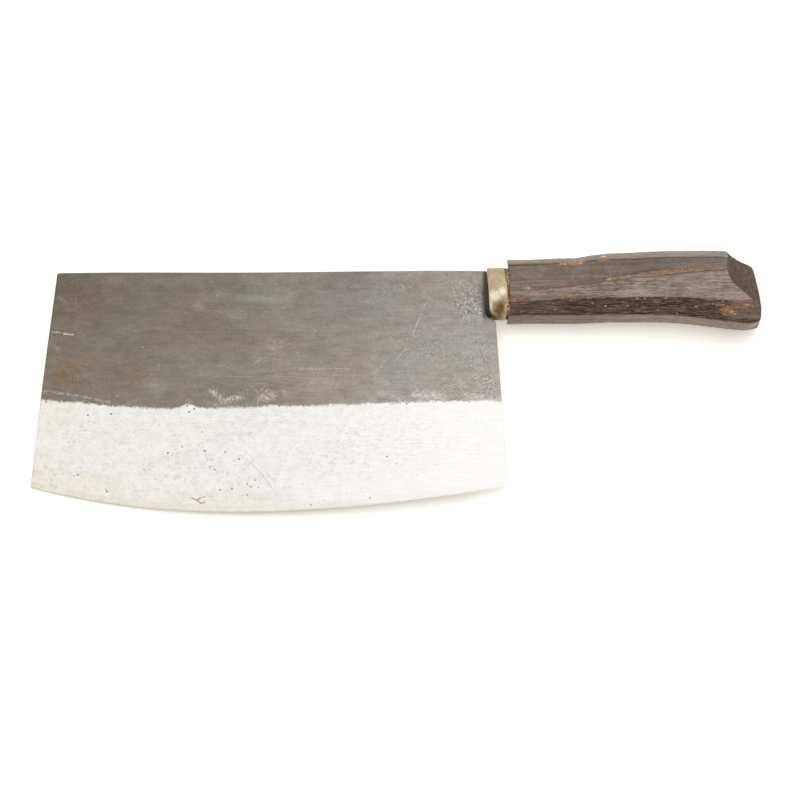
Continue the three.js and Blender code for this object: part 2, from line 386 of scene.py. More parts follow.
blade = {
    "stations": 250, "bandRows": 5, "bevelRows": 50, "flatRows": 80,
    "spineTip": (-190.6, 10.0), "edgeTip": (-198.5, -87.2), "edgeHeel": (9.8, -86.3),
    "heelRake": 4.4, "tipSweep": 14.4, "heelSweep": 9.3, "heelRound": 2.2,
    "grindTip": 57.9, "grindHeel": 58.6, "grindSag": 8.0,
    "spineThick": 3.2, "tipThick": 2.2, "grindThick": 2.5, "bandThick": 0.8, "edgeThick": 0.3,
    "bandWidth": 3.0, "notchFloor": -12.34, "notchRound": 4.4,
    "tangLength": 80.0, "tangHalf": 5.5, "tangTaper": 6.0 / 11.0, "tangTipHalf": 1.0,
    "rimRound": 0.3, "rimEnds": 9.6, "wobbleFrom": -6.0,
    "waviness": 0.07, "waveLong": (21, 17), "waveShort": 6,
    "nickDepth": 0.66, "nickLength": 2.2, "nickFrom": 0.42, "nickReach": 0.05,
    "offBlade": (40.0, 80.0),   # stored on the tang for the distances to the grind line and the edge
    # hammered spine: how far it stands above its straight line, at some places along it
    "spineWobble": [
        (-191, 0.0), (-184, 0.1), (-167, 0.24), (-149, 0.2), (-131, 0.08), (-113, 0.0), (-96, 0.0),
        (-78, 0.14), (-60, 0.3), (-42, 0.37), (-25, 0.5), (-8, 0.36), (0, 0.2),
    ],
    "tipBulge": 0.35,
    # where the ground bevel reaches higher or lower than its even line: x, rise, half width
    "borderBumps": [(-130.3, 2.1, 3.2), (-141.0, -0.6, 8.0), (-176.0, 0.5, 6.0), (-93.0, 0.6, 6.0)],
}


def cuttingEdge(share):
    length = (blade["edgeHeel"][0] - blade["edgeTip"][0]) / 3
    tip, heel = blade["edgeTip"][1], blade["edgeHeel"][1]
    pulls = (
        tip, tip - length * math.tan(math.radians(blade["tipSweep"])),
        heel - length * math.tan(math.radians(blade["heelSweep"])), heel,
    )
    left = 1 - share
    weights = (left**3, 3 * share * left**2, 3 * share**2 * left, share**3)
    return sum(w * p for w, p in zip(weights, pulls))


def grindLine(share):
    depth = mix(blade["grindTip"], blade["grindHeel"], share)
    return blade["spineTip"][1] - depth - blade["grindSag"] * 3 * share * (1 - share)**2


def tipLine(y):
    (topX, topY), (lowX, lowY) = blade["spineTip"], blade["edgeTip"]
    share = between((y - lowY) / (topY - lowY))
    return mix(lowX, topX, share) - blade["tipBulge"] * np.sin(np.pi * share)**2


def heelLine(y):
    lowX, lowY = blade["edgeHeel"]
    heel = lowX - max(y - lowY, 0.0) * math.tan(math.radians(blade["heelRake"]))
    turn = blade["notchRound"]
    rise = y - blade["notchFloor"]
    if rise <= 0:
        return heel
    return min(heel, turn - math.sqrt(turn**2 - (turn - min(rise, turn))**2))


def flatHalf(x, y):
    toTip = x / blade["spineTip"][0]
    toGrind = (blade["spineTip"][1] - y) / blade["grindHeel"]
    thick = blade["spineThick"]
    return (thick + (blade["tipThick"] - thick) * toTip + (blade["grindThick"] - thick) * toGrind) / 2


def bladeShare(x, y):
    left, right = tipLine(y), heelLine(y)
    return min(max((x - left) / (right - left), 0.0), 1.0)


def bladeHalf(x, y):
    share = bladeShare(x, y)
    low, line = cuttingEdge(share), grindLine(share)
    band = low + blade["bandWidth"]
    if y >= line:
        return flatHalf(x, y)
    if y >= band:
        return mix(blade["bandThick"] / 2, flatHalf(x, line), (y - band) / (line - band))
    return mix(blade["edgeThick"], blade["bandThick"], max(y - low, 0.0) / blade["bandWidth"]) / 2


def bladeSpot(share, row):
    low, line = cuttingEdge(share), grindLine(share)
    band = low + blade["bandWidth"]
    stops = [(0, low), (blade["bandRows"], band), (blade["bandRows"] + blade["bevelRows"], line)]
    stops.append((stops[-1][0] + blade["flatRows"], blade["spineTip"][1]))
    y = np.interp(row, [s[0] for s in stops], [s[1] for s in stops])
    x = mix(tipLine(y), heelLine(y), share)
    # the heel's lower corner is worn round
    turn = blade["heelRound"]
    centreX = blade["edgeHeel"][0] - turn
    centreY = cuttingEdge(1.0) + turn * 1.1
    if x > centreX and y < centreY:
        away = math.hypot(x - centreX, y - centreY)
        if away > turn:
            x, y = centreX + (x - centreX) * turn / away, centreY + (y - centreY) * turn / away
    wobble = np.interp(x, *zip(*blade["spineWobble"]))
    rise = (y - blade["wobbleFrom"]) / (blade["spineTip"][1] - blade["wobbleFrom"])
    y += wobble * min(max(rise, 0.0), 1.0)
    return x, float(y)


def makeBladeMesh():
    rows = blade["bandRows"] + blade["bevelRows"] + blade["flatRows"]
    bm = bmesh.new()
    bmesh.ops.create_grid(bm, x_segments=blade["stations"], y_segments=rows, size=0.5)
    for vert in bm.verts:
        x, y = bladeSpot(vert.co.x + 0.5, round((vert.co.y + 0.5) * rows))
        vert.co = (x, y, 0.0)
    lower = bm.verts[:]
    raised = bmesh.ops.extrude_face_region(bm, geom=bm.faces[:], use_keep_orig=True)["geom"]
    upper = [g for g in raised if isinstance(g, bmesh.types.BMVert)]
    longX, longY = blade["waveLong"]
    short = blade["waveShort"]
    for verts, side in ((lower, -1), (upper, 1)):
        for vert in verts:
            x, y, _ = vert.co
            wave = noise.noise(Vector((x / longX, y / longY, side * 4.0)))
            wave += 0.5 * noise.noise(Vector((x / short, y / short, side * 9.0)))
            depth = blade["waviness"] * (0.75 + 0.5 * wave)
            half = bladeHalf(x, y)
            vert.co.z = side * (half - min(max(depth, 0.0), 0.3 * half))
    # small nicks from use, along the cutting edge only
    for vert in lower + upper:
        x, y, _ = vert.co
        if y - cuttingEdge(bladeShare(x, y)) < blade["nickReach"]:
            nick = noise.noise(Vector((x / blade["nickLength"], 3.0, 0.0))) - blade["nickFrom"]
            vert.co.y += max(nick, 0.0) * blade["nickDepth"]
    bmesh.ops.recalc_face_normals(bm, faces=bm.faces[:])
    # tang: the shoulder's faces drawn out
    shoulder = [
        f for f in bm.faces
        if abs(f.normal.x) > 0.9 and all(abs(v.co.x) < 0.01 for v in f.verts)
        and abs(f.calc_center_median().y) < blade["tangHalf"]
    ]
    drawn = bmesh.ops.extrude_face_region(bm, geom=shoulder)["geom"]
    bmesh.ops.delete(bm, geom=shoulder, context="FACES_ONLY")
    for vert in [g for g in drawn if isinstance(g, bmesh.types.BMVert)]:
        side = 1 if vert.co.z > 0 else -1
        vert.co = (blade["tangLength"], vert.co.y * blade["tangTaper"], side * blade["tangTipHalf"])
    rim = [
        e for e in bm.edges
        if len(e.link_faces) == 2 and e.calc_face_angle(0.0) > 1.0
        and all(
            v.co.x < blade["rimEnds"]
            and v.co.y - cuttingEdge(bladeShare(v.co.x, v.co.y)) > blade["bandWidth"] for v in e.verts)
    ]
    bmesh.ops.bevel(
        bm, geom=rim, offset=blade["rimRound"], segments=2, profile=0.5, affect="EDGES",
        material=-1, clamp_overlap=True)
    bmesh.ops.recalc_face_normals(bm, faces=bm.faces[:])
    return bm


def finishPiece(bm, name, material, smoothAngle=40):
    mesh = bpy.data.meshes.new(name)
    bm.to_mesh(mesh)
    bm.free()
    piece = bpy.data.objects.new(name, mesh)
    bpy.context.scene.collection.objects.link(piece)
    mesh.materials.append(material)
    mesh.shade_smooth()
    mesh.set_sharp_from_angle(angle=math.radians(smoothAngle))
    return piece


def storeValues(mesh, name, values):
    layer = mesh.attributes.new(name, "FLOAT", "POINT")
    layer.data.foreach_set("value", np.asarray(values, dtype=np.float32))


def placePiece(piece, node):
    piece.data.transform(knifeToRow)
    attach(piece, "root")
    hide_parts(node)
    print(piece.name, "made:", len(piece.data.polygons), "faces")


steelLook = {
    "along": (-196.0, 4.0),     # x where the colours run from the tip's to the heel's
    # pale scratches on the scale: x1, y1, x2, y2, width, ragged, strength
    "scratches": [
        (-191.6, -17.0, -188.2, -17.4, 1.2, 1.2, 1.0), (-186.4, -17.9, -182.4, -18.4, 1.2, 1.2, 1.0),
        (-195.4, -43.6, -185.0, -45.2, 1.9, 1.6, 0.34), (-184.0, -45.2, -165.0, -48.9, 1.9, 1.6, 0.34),
        (-28.7, -9.4, -32.1, -18.4, 0.8, 0.5, 0.5), (-26.5, -4.0, -28.2, -8.0, 0.8, 0.9, 0.3),
        (-34.6, -24.7, -39.4, -30.1, 0.9, 0.9, 0.4), (-43.0, -29.0, -49.0, -36.5, 0.9, 1.0, 0.3),
        (-81.5, -34.3, -59.5, -33.9, 0.7, 0.6, 0.34), (-77.9, -36.6, -64.7, -36.6, 0.7, 0.7, 0.22),
        (-94.0, -25.1, -86.5, -22.8, 0.8, 1.0, 0.4), (-100.9, -30.9, -99.2, -30.0, 0.8, 0.6, 0.4),
        (-103.3, -41.3, -97.9, -46.7, 0.8, 0.9, 0.36), (-97.9, -45.8, -95.3, -43.1, 0.9, 0.6, 0.75),
        (-96.8, -46.6, -94.0, -43.8, 0.7, 0.8, 0.4), (-99.4, -44.6, -96.6, -41.8, 0.7, 0.8, 0.3),
        (-38.0, 4.5, -35.5, 2.0, 0.8, 0.9, 0.4), (-34.5, 3.5, -32.0, 2.0, 0.8, 0.9, 0.3),
    ],
    # where the scale is rubbed through in fine crossing lines: x1, y1, x2, y2, width, ragged, strength
    "scuffs": [
        (-120.0, -43.8, -116.0, -47.5, 4.6, 3.4, 1.0), (-115.0, -48.6, -107.0, -46.6, 4.4, 3.4, 1.0),
        (-99.0, -47.5, -93.0, -46.0, 6.0, 4.0, 0.8), (-88.5, -44.0, -87.0, -46.0, 3.0, 3.0, 0.6),
        (-46.0, -45.0, -37.0, -47.6, 5.0, 3.6, 0.5), (-30.6, -45.4, -19.0, -46.8, 6.0, 4.4, 1.0),
        (-9.0, -45.6, -2.0, -47.2, 5.0, 3.6, 0.9), (-48.6, -38.6, -43.0, -40.6, 4.6, 3.6, 0.2),
        (-13.5, -38.0, -9.0, -42.5, 5.0, 3.6, 0.4), (-192.0, -22.0, -189.0, -25.0, 3.6, 3.4, 0.25),
        (-68.5, -39.5, -63.5, -42.0, 4.0, 3.4, 0.15), (-189.0, -1.5, -186.0, -3.5, 4.0, 4.0, 0.2),
    ],
    # soft discoloured places: x, y, reach x, reach y, ragged, grain, strength
    "rust": [
        (-185.0, -36.0, 8.0, 9.0, 1.0, 6.0, 0.8), (-154.0, -37.0, 14.0, 8.0, 1.0, 7.0, 0.5),
        (-177.0, -30.0, 9.0, 5.0, 1.0, 5.0, 0.35), (-163.0, -36.0, 6.0, 5.0, 1.0, 5.0, 0.5),
        (-186.0, 2.0, 12.0, 9.0, 1.1, 7.0, 0.3), (-41.0, -24.0, 14.0, 6.0, 1.2, 4.0, 0.3),
    ],
    "plum": [
        (-182.0, 1.0, 17.0, 15.0, 1.0, 6.0, 0.85), (-146.0, 3.0, 7.0, 5.0, 1.2, 4.0, 0.6),
        (-158.0, -20.0, 22.0, 10.0, 1.2, 9.0, 0.35), (-110.0, -20.0, 24.0, 9.0, 1.2, 8.0, 0.4),
        (-58.0, 5.0, 26.0, 7.0, 1.0, 6.0, 0.65), (-76.0, -24.0, 24.0, 8.0, 1.0, 6.0, 0.55),
        (-36.0, 4.5, 8.0, 5.0, 1.2, 4.0, 0.5),
    ],
    "haze": [
        (-120.0, -1.0, 15.0, 5.5, 0.9, 4.0, 0.25), (-103.0, -2.5, 13.0, 2.6, 0.7, 3.0, 0.62),
        (-127.0, -5.6, 4.6, 2.8, 0.5, 2.5, 0.85), (-111.0, -9.0, 10.0, 3.6, 0.7, 4.0, 0.5),
        (-86.0, -1.5, 14.0, 6.0, 1.0, 4.0, 0.25), (-72.0, -41.0, 12.0, 6.0, 1.0, 5.0, 0.35),
        (-140.0, 6.0, 18.0, 5.0, 1.0, 4.0, 0.28), (-166.0, 6.5, 10.0, 4.0, 0.9, 3.0, 0.5),
        (-146.0, -42.0, 9.0, 6.0, 0.9, 4.0, 0.6), (-156.0, -15.5, 20.0, 2.6, 0.9, 4.0, 0.3),
        (-117.0, -35.0, 18.0, 4.5, 1.2, 4.0, 0.25), (-170.0, -22.0, 9.0, 3.0, 0.9, 3.0, 0.3),
    ],
    # speckled bare grain at the shoulder and the heel
    "grain": [
        (-7.0, -4.0, 14.0, 14.0, 0.9, 5.0, 1.0), (-3.0, -30.0, 13.0, 12.0, 1.0, 5.0, 0.65),
        (1.0, -42.0, 12.0, 10.0, 1.0, 5.0, 0.85), (-14.0, -43.0, 12.0, 7.0, 1.0, 5.0, 0.5),
        (-27.0, -25.0, 20.0, 10.0, 1.2, 5.0, 0.4), (-182.0, -2.0, 12.0, 8.0, 1.0, 5.0, 0.14),
    ],
    "drawn": [(-95.0, -37.0, 48.0, 9.0, 1.0, 8.0, 1.0), (-30.0, -36.0, 40.0, 12.0, 1.0, 8.0, 0.6)],
    # painted shadow on the blade beside the ferrule
    "nearFerrule": [(0.0, -1.0, 4.6, 12.0, 0.3, 3.0, 1.0)],
    # pits in the bevel: x, y, radius
    "pits": [
        (-193.0, -48.9, 0.5), (-174.3, -54.8, 0.5), (-164.1, -54.3, 0.55), (-138.5, -71.7, 0.55),
        (-132.4, -69.0, 0.4), (-130.7, -50.7, 0.55), (-129.8, -53.4, 0.55), (-127.6, -52.1, 0.5),
        (-122.3, -70.8, 0.5), (-123.8, -62.4, 0.4), (-113.5, -71.3, 0.45), (-107.3, -74.4, 0.5),
        (-119.9, -77.9, 0.45), (-117.7, -79.2, 0.45), (-177.7, -81.5, 0.5), (-179.4, -82.0, 0.4),
        (-164.7, -89.0, 0.5), (-115.3, -88.1, 0.5), (-110.0, -87.6, 0.5), (-103.4, -90.3, 0.45),
        (-103.5, -85.4, 0.45), (-101.8, -86.7, 0.45), (-90.3, -50.8, 0.55), (-33.5, -49.0, 0.5),
        (-34.4, -49.9, 0.45), (-42.8, -73.4, 0.45), (-49.9, -91.5, 0.45), (-75.5, -94.6, 0.4),
        (-7.3, -49.0, 0.45), (-38.6, -76.5, 0.35), (-100.0, -83.8, 0.4), (-98.6, -87.0, 0.35),
    ],
    # dull scratches in the bevel, and the brown hairline by the edge
    "greyMarks": [
        (-106.9, -72.6, -101.6, -76.6, 1.0, 0.8, 0.4), (-101.6, -76.6, -97.1, -81.0, 1.0, 0.7, 0.55),
        (-97.1, -81.0, -93.0, -86.7, 1.0, 0.7, 0.55), (-93.0, -86.7, -90.3, -90.7, 0.9, 0.7, 0.35),
        (-104.0, -71.5, -97.0, -78.0, 0.9, 0.8, 0.3), (-97.0, -78.0, -91.5, -85.0, 0.9, 0.8, 0.35),
        (-110.2, -62.4, -105.3, -66.8, 1.0, 0.9, 0.36), (-105.3, -66.8, -100.8, -70.8, 0.9, 0.9, 0.3),
        (-119.0, -62.4, -114.1, -65.5, 1.0, 1.0, 0.26), (-98.6, -92.0, -91.2, -91.6, 0.9, 0.9, 0.3),
        (-87.3, -92.9, -81.6, -92.0, 0.9, 0.8, 0.3), (-103.4, -63.2, -102.2, -62.4, 1.6, 1.4, 0.8),
    ],
    "hairline": [
        (-127.6, -91.6, -125.2, -92.8, 1.0, 0.35, 0.9), (-125.2, -92.8, -123.6, -91.5, 1.0, 0.35, 1.0),
        (-123.6, -91.5, -121.8, -91.2, 0.9, 0.35, 0.8), (-125.0, -92.7, -123.4, -94.0, 1.0, 0.35, 1.0),
        (-123.4, -94.0, -121.6, -93.6, 1.0, 0.35, 0.9), (-165.4, -87.6, -164.6, -89.2, 0.8, 0.4, 0.8),
    ],
    # yellowed places low on the bevel, and its greyer ones
    "stain": [
        (-193.0, -80.0, 10.0, 12.0, 1.0, 5.0, 0.9), (-172.0, -85.0, 26.0, 8.0, 1.2, 5.0, 0.8),
        (-122.0, -92.0, 60.0, 5.0, 0.6, 5.0, 0.7), (-188.0, -55.0, 14.0, 10.0, 1.2, 6.0, 0.5),
    ],
    "dulled": [
        (-130.0, -77.0, 36.0, 11.0, 1.2, 6.0, 0.9), (-104.0, -84.0, 12.0, 10.0, 1.2, 4.0, 0.7),
        (-72.0, -76.0, 22.0, 12.0, 1.2, 6.0, 0.7), (-170.0, -64.0, 22.0, 10.0, 1.2, 6.0, 0.5),
        (-188.0, -80.0, 12.0, 10.0, 1.2, 4.0, 0.8),
    ],
    "wavyGrain": [(-48.0, -66.0, 46.0, 22.0, 0.8, 9.0, 1.0), (-100.0, -58.0, 60.0, 12.0, 1.0, 9.0, 0.6)],
}


def makeScaleTone(tree, place, sheet, x, y, fromGrind):
    # forge scale, brown at the tip and greyer and lighter towards the heel
    along = remap(tree, x, *steelLook["along"], kind="LINEAR")
    drift = times(tree, minus(tree, patchesAt(tree, place, 40.0, 0.2, 0.8), 0.5), 0.2)
    tone = colourRun(
        tree, plus(tree, along, drift),
        [(0.0, (0.158, 0.132, 0.103)), (0.42, (0.185, 0.164, 0.139)),
         (0.7, (0.247, 0.228, 0.204)), (1.0, (0.306, 0.291, 0.269))])
    tone = scaleColour(tree, tone, remap(tree, y, 4.0, -38.0, 1.0, 1.17))
    drawnOut = vectorMaths(tree, "MULTIPLY", place, (0.5, 1.0, 1.0))
    brown = patchesAt(tree, drawnOut, 20.0, 0.42, 0.68, 13.0)
    tone = tint(tree, times(tree, brown, 0.8), tone, (1.02, 0.93, 0.86), "MULTIPLY")
    cool = patchesAt(tree, drawnOut, 13.0, 0.46, 0.7, 31.0)
    tone = tint(tree, times(tree, cool, 0.8), tone, (0.92, 1.0, 0.98), "MULTIPLY")
    cloud = patchesAt(tree, drawnOut, 5.5, 0.25, 0.75, 5.0)
    tone = shade(tree, tone, cloud, 0.86, 1.14)
    rolled = streaksAt(tree, place, 13.0, 0.9, 2.0)
    tone = shade(tree, tone, rolled, 0.93, 1.08)
    small = patchesAt(tree, drawnOut, 2.2, 0.3, 0.7, 77.0)
    tone = shade(tree, tone, small, 0.93, 1.07)
    fine = patchesAt(tree, place, 1.0, 0.3, 0.7, 7.0)
    tone = shade(tree, tone, fine, 0.91, 1.09)

    tone = tint(tree, blotsOn(tree, sheet, steelLook["plum"]), tone, (0.84, 0.80, 0.82), "MULTIPLY")
    tone = tint(tree, blotsOn(tree, sheet, steelLook["rust"]), tone, (0.99, 0.82, 0.65), "MULTIPLY")
    haze = blotsOn(tree, sheet, steelLook["haze"])
    tone = tint(tree, times(tree, haze, 0.85), tone, (1.44, 1.52, 1.47), "MULTIPLY")
    drawn = times(
        tree, blotsOn(tree, sheet, steelLook["drawn"]),
        hatch(tree, place, 1.5, 11.0, 0.55, 61.0, 0.58, 0.86))
    tone = tint(tree, times(tree, drawn, 0.2), tone, (0.62, 0.57, 0.52))

    # speckled grain: crumbs of bare steel and dark pits between them
    grain = blotsOn(tree, sheet, steelLook["grain"])
    crumbs = patchesAt(tree, place, 0.9, 0.47, 0.66, 23.0)
    holes = patchesAt(tree, place, 0.95, 0.48, 0.38, 37.0)
    tone = tint(tree, times(tree, grain, crumbs, 0.55), tone, (0.66, 0.645, 0.62))
    tone = tint(tree, times(tree, grain, holes, 0.6), tone, (0.115, 0.105, 0.098))
    flecks = specksAt(tree, place, 2.4, 0.2, 0.2, 1.5)
    tone = tint(tree, times(tree, flecks, 0.3), tone, (0.5, 0.46, 0.4))
    darks = specksAt(tree, sheet, 2.2, 0.26, 0.24)
    tone = shade(tree, tone, darks, 1.0, 0.80)

    # rubbed places and scratches, broken up so that the scale still shows between their lines
    lines = hatch(tree, place, 38.0, 4.0, 0.5, 63.0, 0.52, 0.72)
    for angle, seed in ((-47.0, 67.0), (82.0, 71.0), (8.0, 73.0)):
        lines = most(tree, lines, hatch(tree, place, angle, 4.0, 0.5, seed, 0.54, 0.74))
    dotted = patchesAt(tree, place, 1.2, 0.36, 0.58, 41.0)
    scuffs = times(
        tree, strokesOn(tree, sheet, steelLook["scuffs"]), lines,
        plus(tree, times(tree, dotted, 0.75), 0.25))
    rub = patchesAt(tree, place, 9.0, 0.46, 0.66, 47.0)
    fringe = times(tree, remap(tree, fromGrind, 4.0, 0.0), rub, lines)
    scratches = times(tree, strokesOn(tree, sheet, steelLook["scratches"]), dotted)
    pale = most(tree, times(tree, scuffs, 0.8), times(tree, fringe, 0.45), scratches)
    tone = tint(tree, times(tree, pale, 0.85), tone, (0.74, 0.7, 0.645))
    # painted shadow of the ferrule on the blade: a soft dark blot beside it, then a near-black line along
    # the shoulder under its front rim
    shadowed = blotsOn(tree, place, steelLook["nearFerrule"])
    tone = tint(tree, times(tree, shadowed, 0.6), tone, (0.42, 0.39, 0.4), "MULTIPLY")
    corner = times(tree, remap(tree, x, -2.6, -0.5), remap(tree, y, -14.5, -9.0))
    tone = tint(tree, times(tree, corner, 0.85), tone, (0.05, 0.038, 0.028))
    height = plus(tree, times(tree, fine, 0.5), times(tree, cloud, 0.6))
    height = minus(tree, height, times(tree, pale, 0.6))
    return tone, cloud, minus(tree, height, times(tree, grain, holes))


def makeBevelTone(tree, place, sheet, x, fromEdge):
    # ground bevel: bright, finely flecked, yellowed low down towards the tip
    along = remap(tree, x, *steelLook["along"], kind="LINEAR")
    tone = colourRun(tree, along, [
        (0.0, (0.626, 0.611, 0.577)), (0.5, (0.624, 0.614, 0.590)), (1.0, (0.680, 0.673, 0.650))])
    tipward = remap(tree, x, 0.0, -120.0, 0.3, 1.0)
    ground = streaksAt(tree, place, 9.0, 0.6, 3.0)
    tone = shade(tree, tone, ground, 0.935, 1.05)
    wavy = times(
        tree, blotsOn(tree, sheet, steelLook["wavyGrain"]),
        hatch(tree, place, -13.0, 3.2, 0.8, 81.0, 0.45, 0.75))
    tone = shade(tree, tone, wavy, 1.02, 0.905)
    mottle = patchesAt(tree, place, 3.2, 0.35, 0.7, 11.0)
    tone = shade(tree, tone, times(tree, mottle, tipward), 1.02, 0.94)
    flecks = patchesAt(tree, place, 1.15, 0.53, 0.7, 15.0)
    dulled = blotsOn(tree, sheet, steelLook["dulled"])
    fleckShare = times(tree, flecks, plus(tree, times(tree, tipward, 0.45), times(tree, dulled, 0.55)))
    tone = shade(tree, tone, fleckShare, 1.01, 0.72)
    tone = shade(tree, tone, dulled, 1.0, 0.975)
    stain = blotsOn(tree, sheet, steelLook["stain"])
    tone = tint(tree, times(tree, stain, 0.75), tone, (0.965, 0.935, 0.85), "MULTIPLY")
    band = times(
        tree, remap(tree, plus(tree, fromEdge, times(tree, mottle, 0.9)), 3.9, 2.9),
        remap(tree, x, -30.0, -85.0))
    tone = tint(tree, times(tree, band, 0.75), tone, (0.965, 0.945, 0.865), "MULTIPLY")
    rim = times(
        tree, remap(tree, plus(tree, fromEdge, times(tree, flecks, 0.5)), 0.9, 0.1),
        remap(tree, x, 0.0, -90.0, 0.35, 1.0))
    tone = tint(tree, times(tree, rim, 0.6), tone, (0.66, 0.66, 0.58), "MULTIPLY")
    pits = times(tree, specksAt(tree, place, 5.0, 0.28, 0.08), 0.45)
    for pitX, pitY, radius in steelLook["pits"]:
        away = vectorMaths(tree, "DISTANCE", sheet, (pitX, pitY, 0.0))
        pits = most(tree, pits, remap(tree, away, radius * 1.2, radius * 0.35))
    tone = tint(tree, times(tree, pits, 0.8), tone, (0.17, 0.16, 0.14))
    dull = strokesOn(tree, sheet, steelLook["greyMarks"])
    tone = tint(tree, times(tree, dull, 0.75), tone, (0.36, 0.35, 0.32))
    hairline = strokesOn(tree, sheet, steelLook["hairline"])
    tone = tint(tree, times(tree, hairline, 0.9), tone, (0.24, 0.21, 0.15))
    height = minus(tree, times(tree, ground, 0.3), pits)
    return tone, ground, pits, minus(tree, height, times(tree, flecks, 0.15))


def makeBladeSteel():
    material, tree, shader = newMaterial("forged blade steel")
    place = knifePlace(tree)
    x, y, z = splitPlace(tree, place)
    fromGrind, fromEdge = attribute(tree, "fromGrind"), attribute(tree, "fromEdge")
    # marks that only the upper side has are looked up on a sheet that the lower side never meets
    sheet = joinPlace(tree, x, y, times(tree, maths(tree, "LESS_THAN", z, 0.0), 500.0))
    scaleTone, cloud, scaleHeight = makeScaleTone(tree, place, sheet, x, y, fromGrind)
    bevelTone, ground, pits, bevelHeight = makeBevelTone(tree, place, sheet, x, fromEdge)

    # the border between the two is frayed
    tear = patchesAt(tree, place, 2.6, 0.2, 0.8, 17.0)
    crumb = patchesAt(tree, place, 0.9, 0.25, 0.75, 19.0)
    torn = plus(tree, fromGrind, times(tree, minus(tree, tear, 0.5), 0.8))
    torn = plus(tree, torn, times(tree, minus(tree, crumb, 0.5), 0.9))
    bevel = remap(tree, torn, 0.75, -0.6)
    tree.links.new(tint(tree, bevel, scaleTone, bevelTone), shader.inputs["Base Color"])
    tree.links.new(blendValue(tree, bevel, 0.62, 1.0), shader.inputs["Metallic"])
    scaleRough = remap(tree, cloud, 0.0, 1.0, 0.47, 0.59, "LINEAR")
    bevelRough = plus(tree, remap(tree, ground, 0.0, 1.0, 0.34, 0.42, "LINEAR"), times(tree, pits, 0.3))
    tree.links.new(blendValue(tree, bevel, scaleRough, bevelRough), shader.inputs["Roughness"])
    addBump(tree, shader, blendValue(tree, bevel, scaleHeight, bevelHeight), 0.35, 0.06)
    return material


bladeBm = makeBladeMesh()
bladePiece = finishPiece(bladeBm, "cleaverBlade", makeBladeSteel(), 35)
grindValues, edgeValues = [], []
for vert in bladePiece.data.vertices:
    vx, vy, _ = vert.co
    if vx > blade["edgeHeel"][0] + 0.2:
        grindValues.append(blade["offBlade"][0])
        edgeValues.append(blade["offBlade"][1])
        continue
    share = bladeShare(vx, vy)
    line = grindLine(share)
    for bumpX, rise, halfWidth in blade["borderBumps"]:
        line += rise * math.exp(-((vx - bumpX) / halfWidth)**2)
    grindValues.append(vy - line)
    edgeValues.append(vy - cuttingEdge(share))
storeValues(bladePiece.data, "fromGrind", grindValues)
storeValues(bladePiece.data, "fromEdge", edgeValues)
placePiece(bladePiece, "blade")


# Ferrule and the resin squeezed out behind it: rings of one soft square section

ferrule = {
    "height": 23.2, "depth": 20.2, "corner": 4.0, "roll": 18.0, "squareness": 2.7,
    "segments": 160, "dent": 0.2, "ripple": 0.12,
    # front and rear rims of the upper side, as x at some places from the heel's side to the spine's
    "frontRim": [(-12.0, 1.5), (-8.0, 1.5), (-3.6, 1.3), (2.0, 0.8), (6.0, 0.35), (12.0, 0.15)],
    "rearRim": [
        (-12.0, 8.9), (-10.0, 9.3), (-8.4, 9.8), (-6.5, 10.4), (-5.2, 10.4), (-2.5, 9.9), (1.1, 9.6),
        (4.3, 8.7), (8.0, 8.3), (12.0, 8.1),
    ],
    # the plain rims underneath, and the z and height over which they run into those of the upper side
    "frontUnder": 0.9, "rearUnder": 8.4, "blendFrom": -6.0, "blendOver": 8.0,
    # ring by ring: share of the length, then how far in from the outside
    "rings": [
        (0.0, 0.45), (0.012, 0.16), (0.045, 0.02), (0.12, 0.0), (0.2, 0.03), (0.28, 0.0), (0.36, 0.02),
        (0.44, 0.0), (0.52, 0.03), (0.6, 0.0), (0.68, 0.02), (0.76, 0.0), (0.84, 0.03), (0.91, 0.0),
        (0.96, 0.05), (0.99, 0.25), (1.0, 0.5), (1.0, 0.85), (0.97, 1.1), (0.6, 1.1), (0.3, 1.1),
        (0.03, 1.1), (0.0, 0.85),
    ],
}
bead = {
    "inset": 0.25, "lumps": 0.7, "under": 9.0, "overlap": 0.3, "shortest": 0.5, "sunk": 0.1,
    "rings": [
        (0.0, 0.4), (0.1, 0.05), (0.25, 0.0), (0.4, 0.1), (0.55, 0.0), (0.7, 0.12), (0.85, 0.0),
        (1.0, 0.3), (1.0, 0.8), (0.0, 0.8),
    ],
}
# the handle's front end is pared hollow for the ferrule: x of its rim, from the heel's side up
handleRim = [
    (-14.0, 9.0), (-12.9, 9.05), (-11.7, 9.7), (-9.5, 10.3), (-7.0, 10.7), (-5.3, 10.75), (0.3, 10.5),
    (8.5, 10.2), (11.0, 9.7), (14.2, 9.0),
]


def softSquare(angle, inset):
    power = 2 / ferrule["squareness"]
    y = (ferrule["height"] / 2 - inset) * math.copysign(abs(math.cos(angle))**power, math.cos(angle))
    z = (ferrule["depth"] / 2 - inset) * math.copysign(abs(math.sin(angle))**power, math.sin(angle))
    turn = math.radians(ferrule["roll"])
    return y * math.cos(turn) - z * math.sin(turn), y * math.sin(turn) + z * math.cos(turn)


def ringTube(segments, count):
    bm = bmesh.new()
    bmesh.ops.create_circle(bm, segments=segments, radius=1.0, cap_ends=False)
    first = bm.edges[:]
    rim = first
    for step in range(1, count):
        drawn = bmesh.ops.extrude_edge_only(bm, edges=rim)["geom"]
        raised = [g for g in drawn if isinstance(g, bmesh.types.BMVert)]
        bmesh.ops.translate(bm, vec=(0, 0, 1), verts=raised)
        rim = [g for g in drawn if isinstance(g, bmesh.types.BMEdge)]
        rim = [e for e in rim if all(abs(v.co.z - step) < 0.01 for v in e.verts)]
    bmesh.ops.bridge_loops(bm, edges=first + rim)
    return bm


def turnOut(bm):
    bmesh.ops.recalc_face_normals(bm, faces=bm.faces[:])
    if bm.calc_volume(signed=True) < 0:
        bmesh.ops.reverse_faces(bm, faces=bm.faces[:])


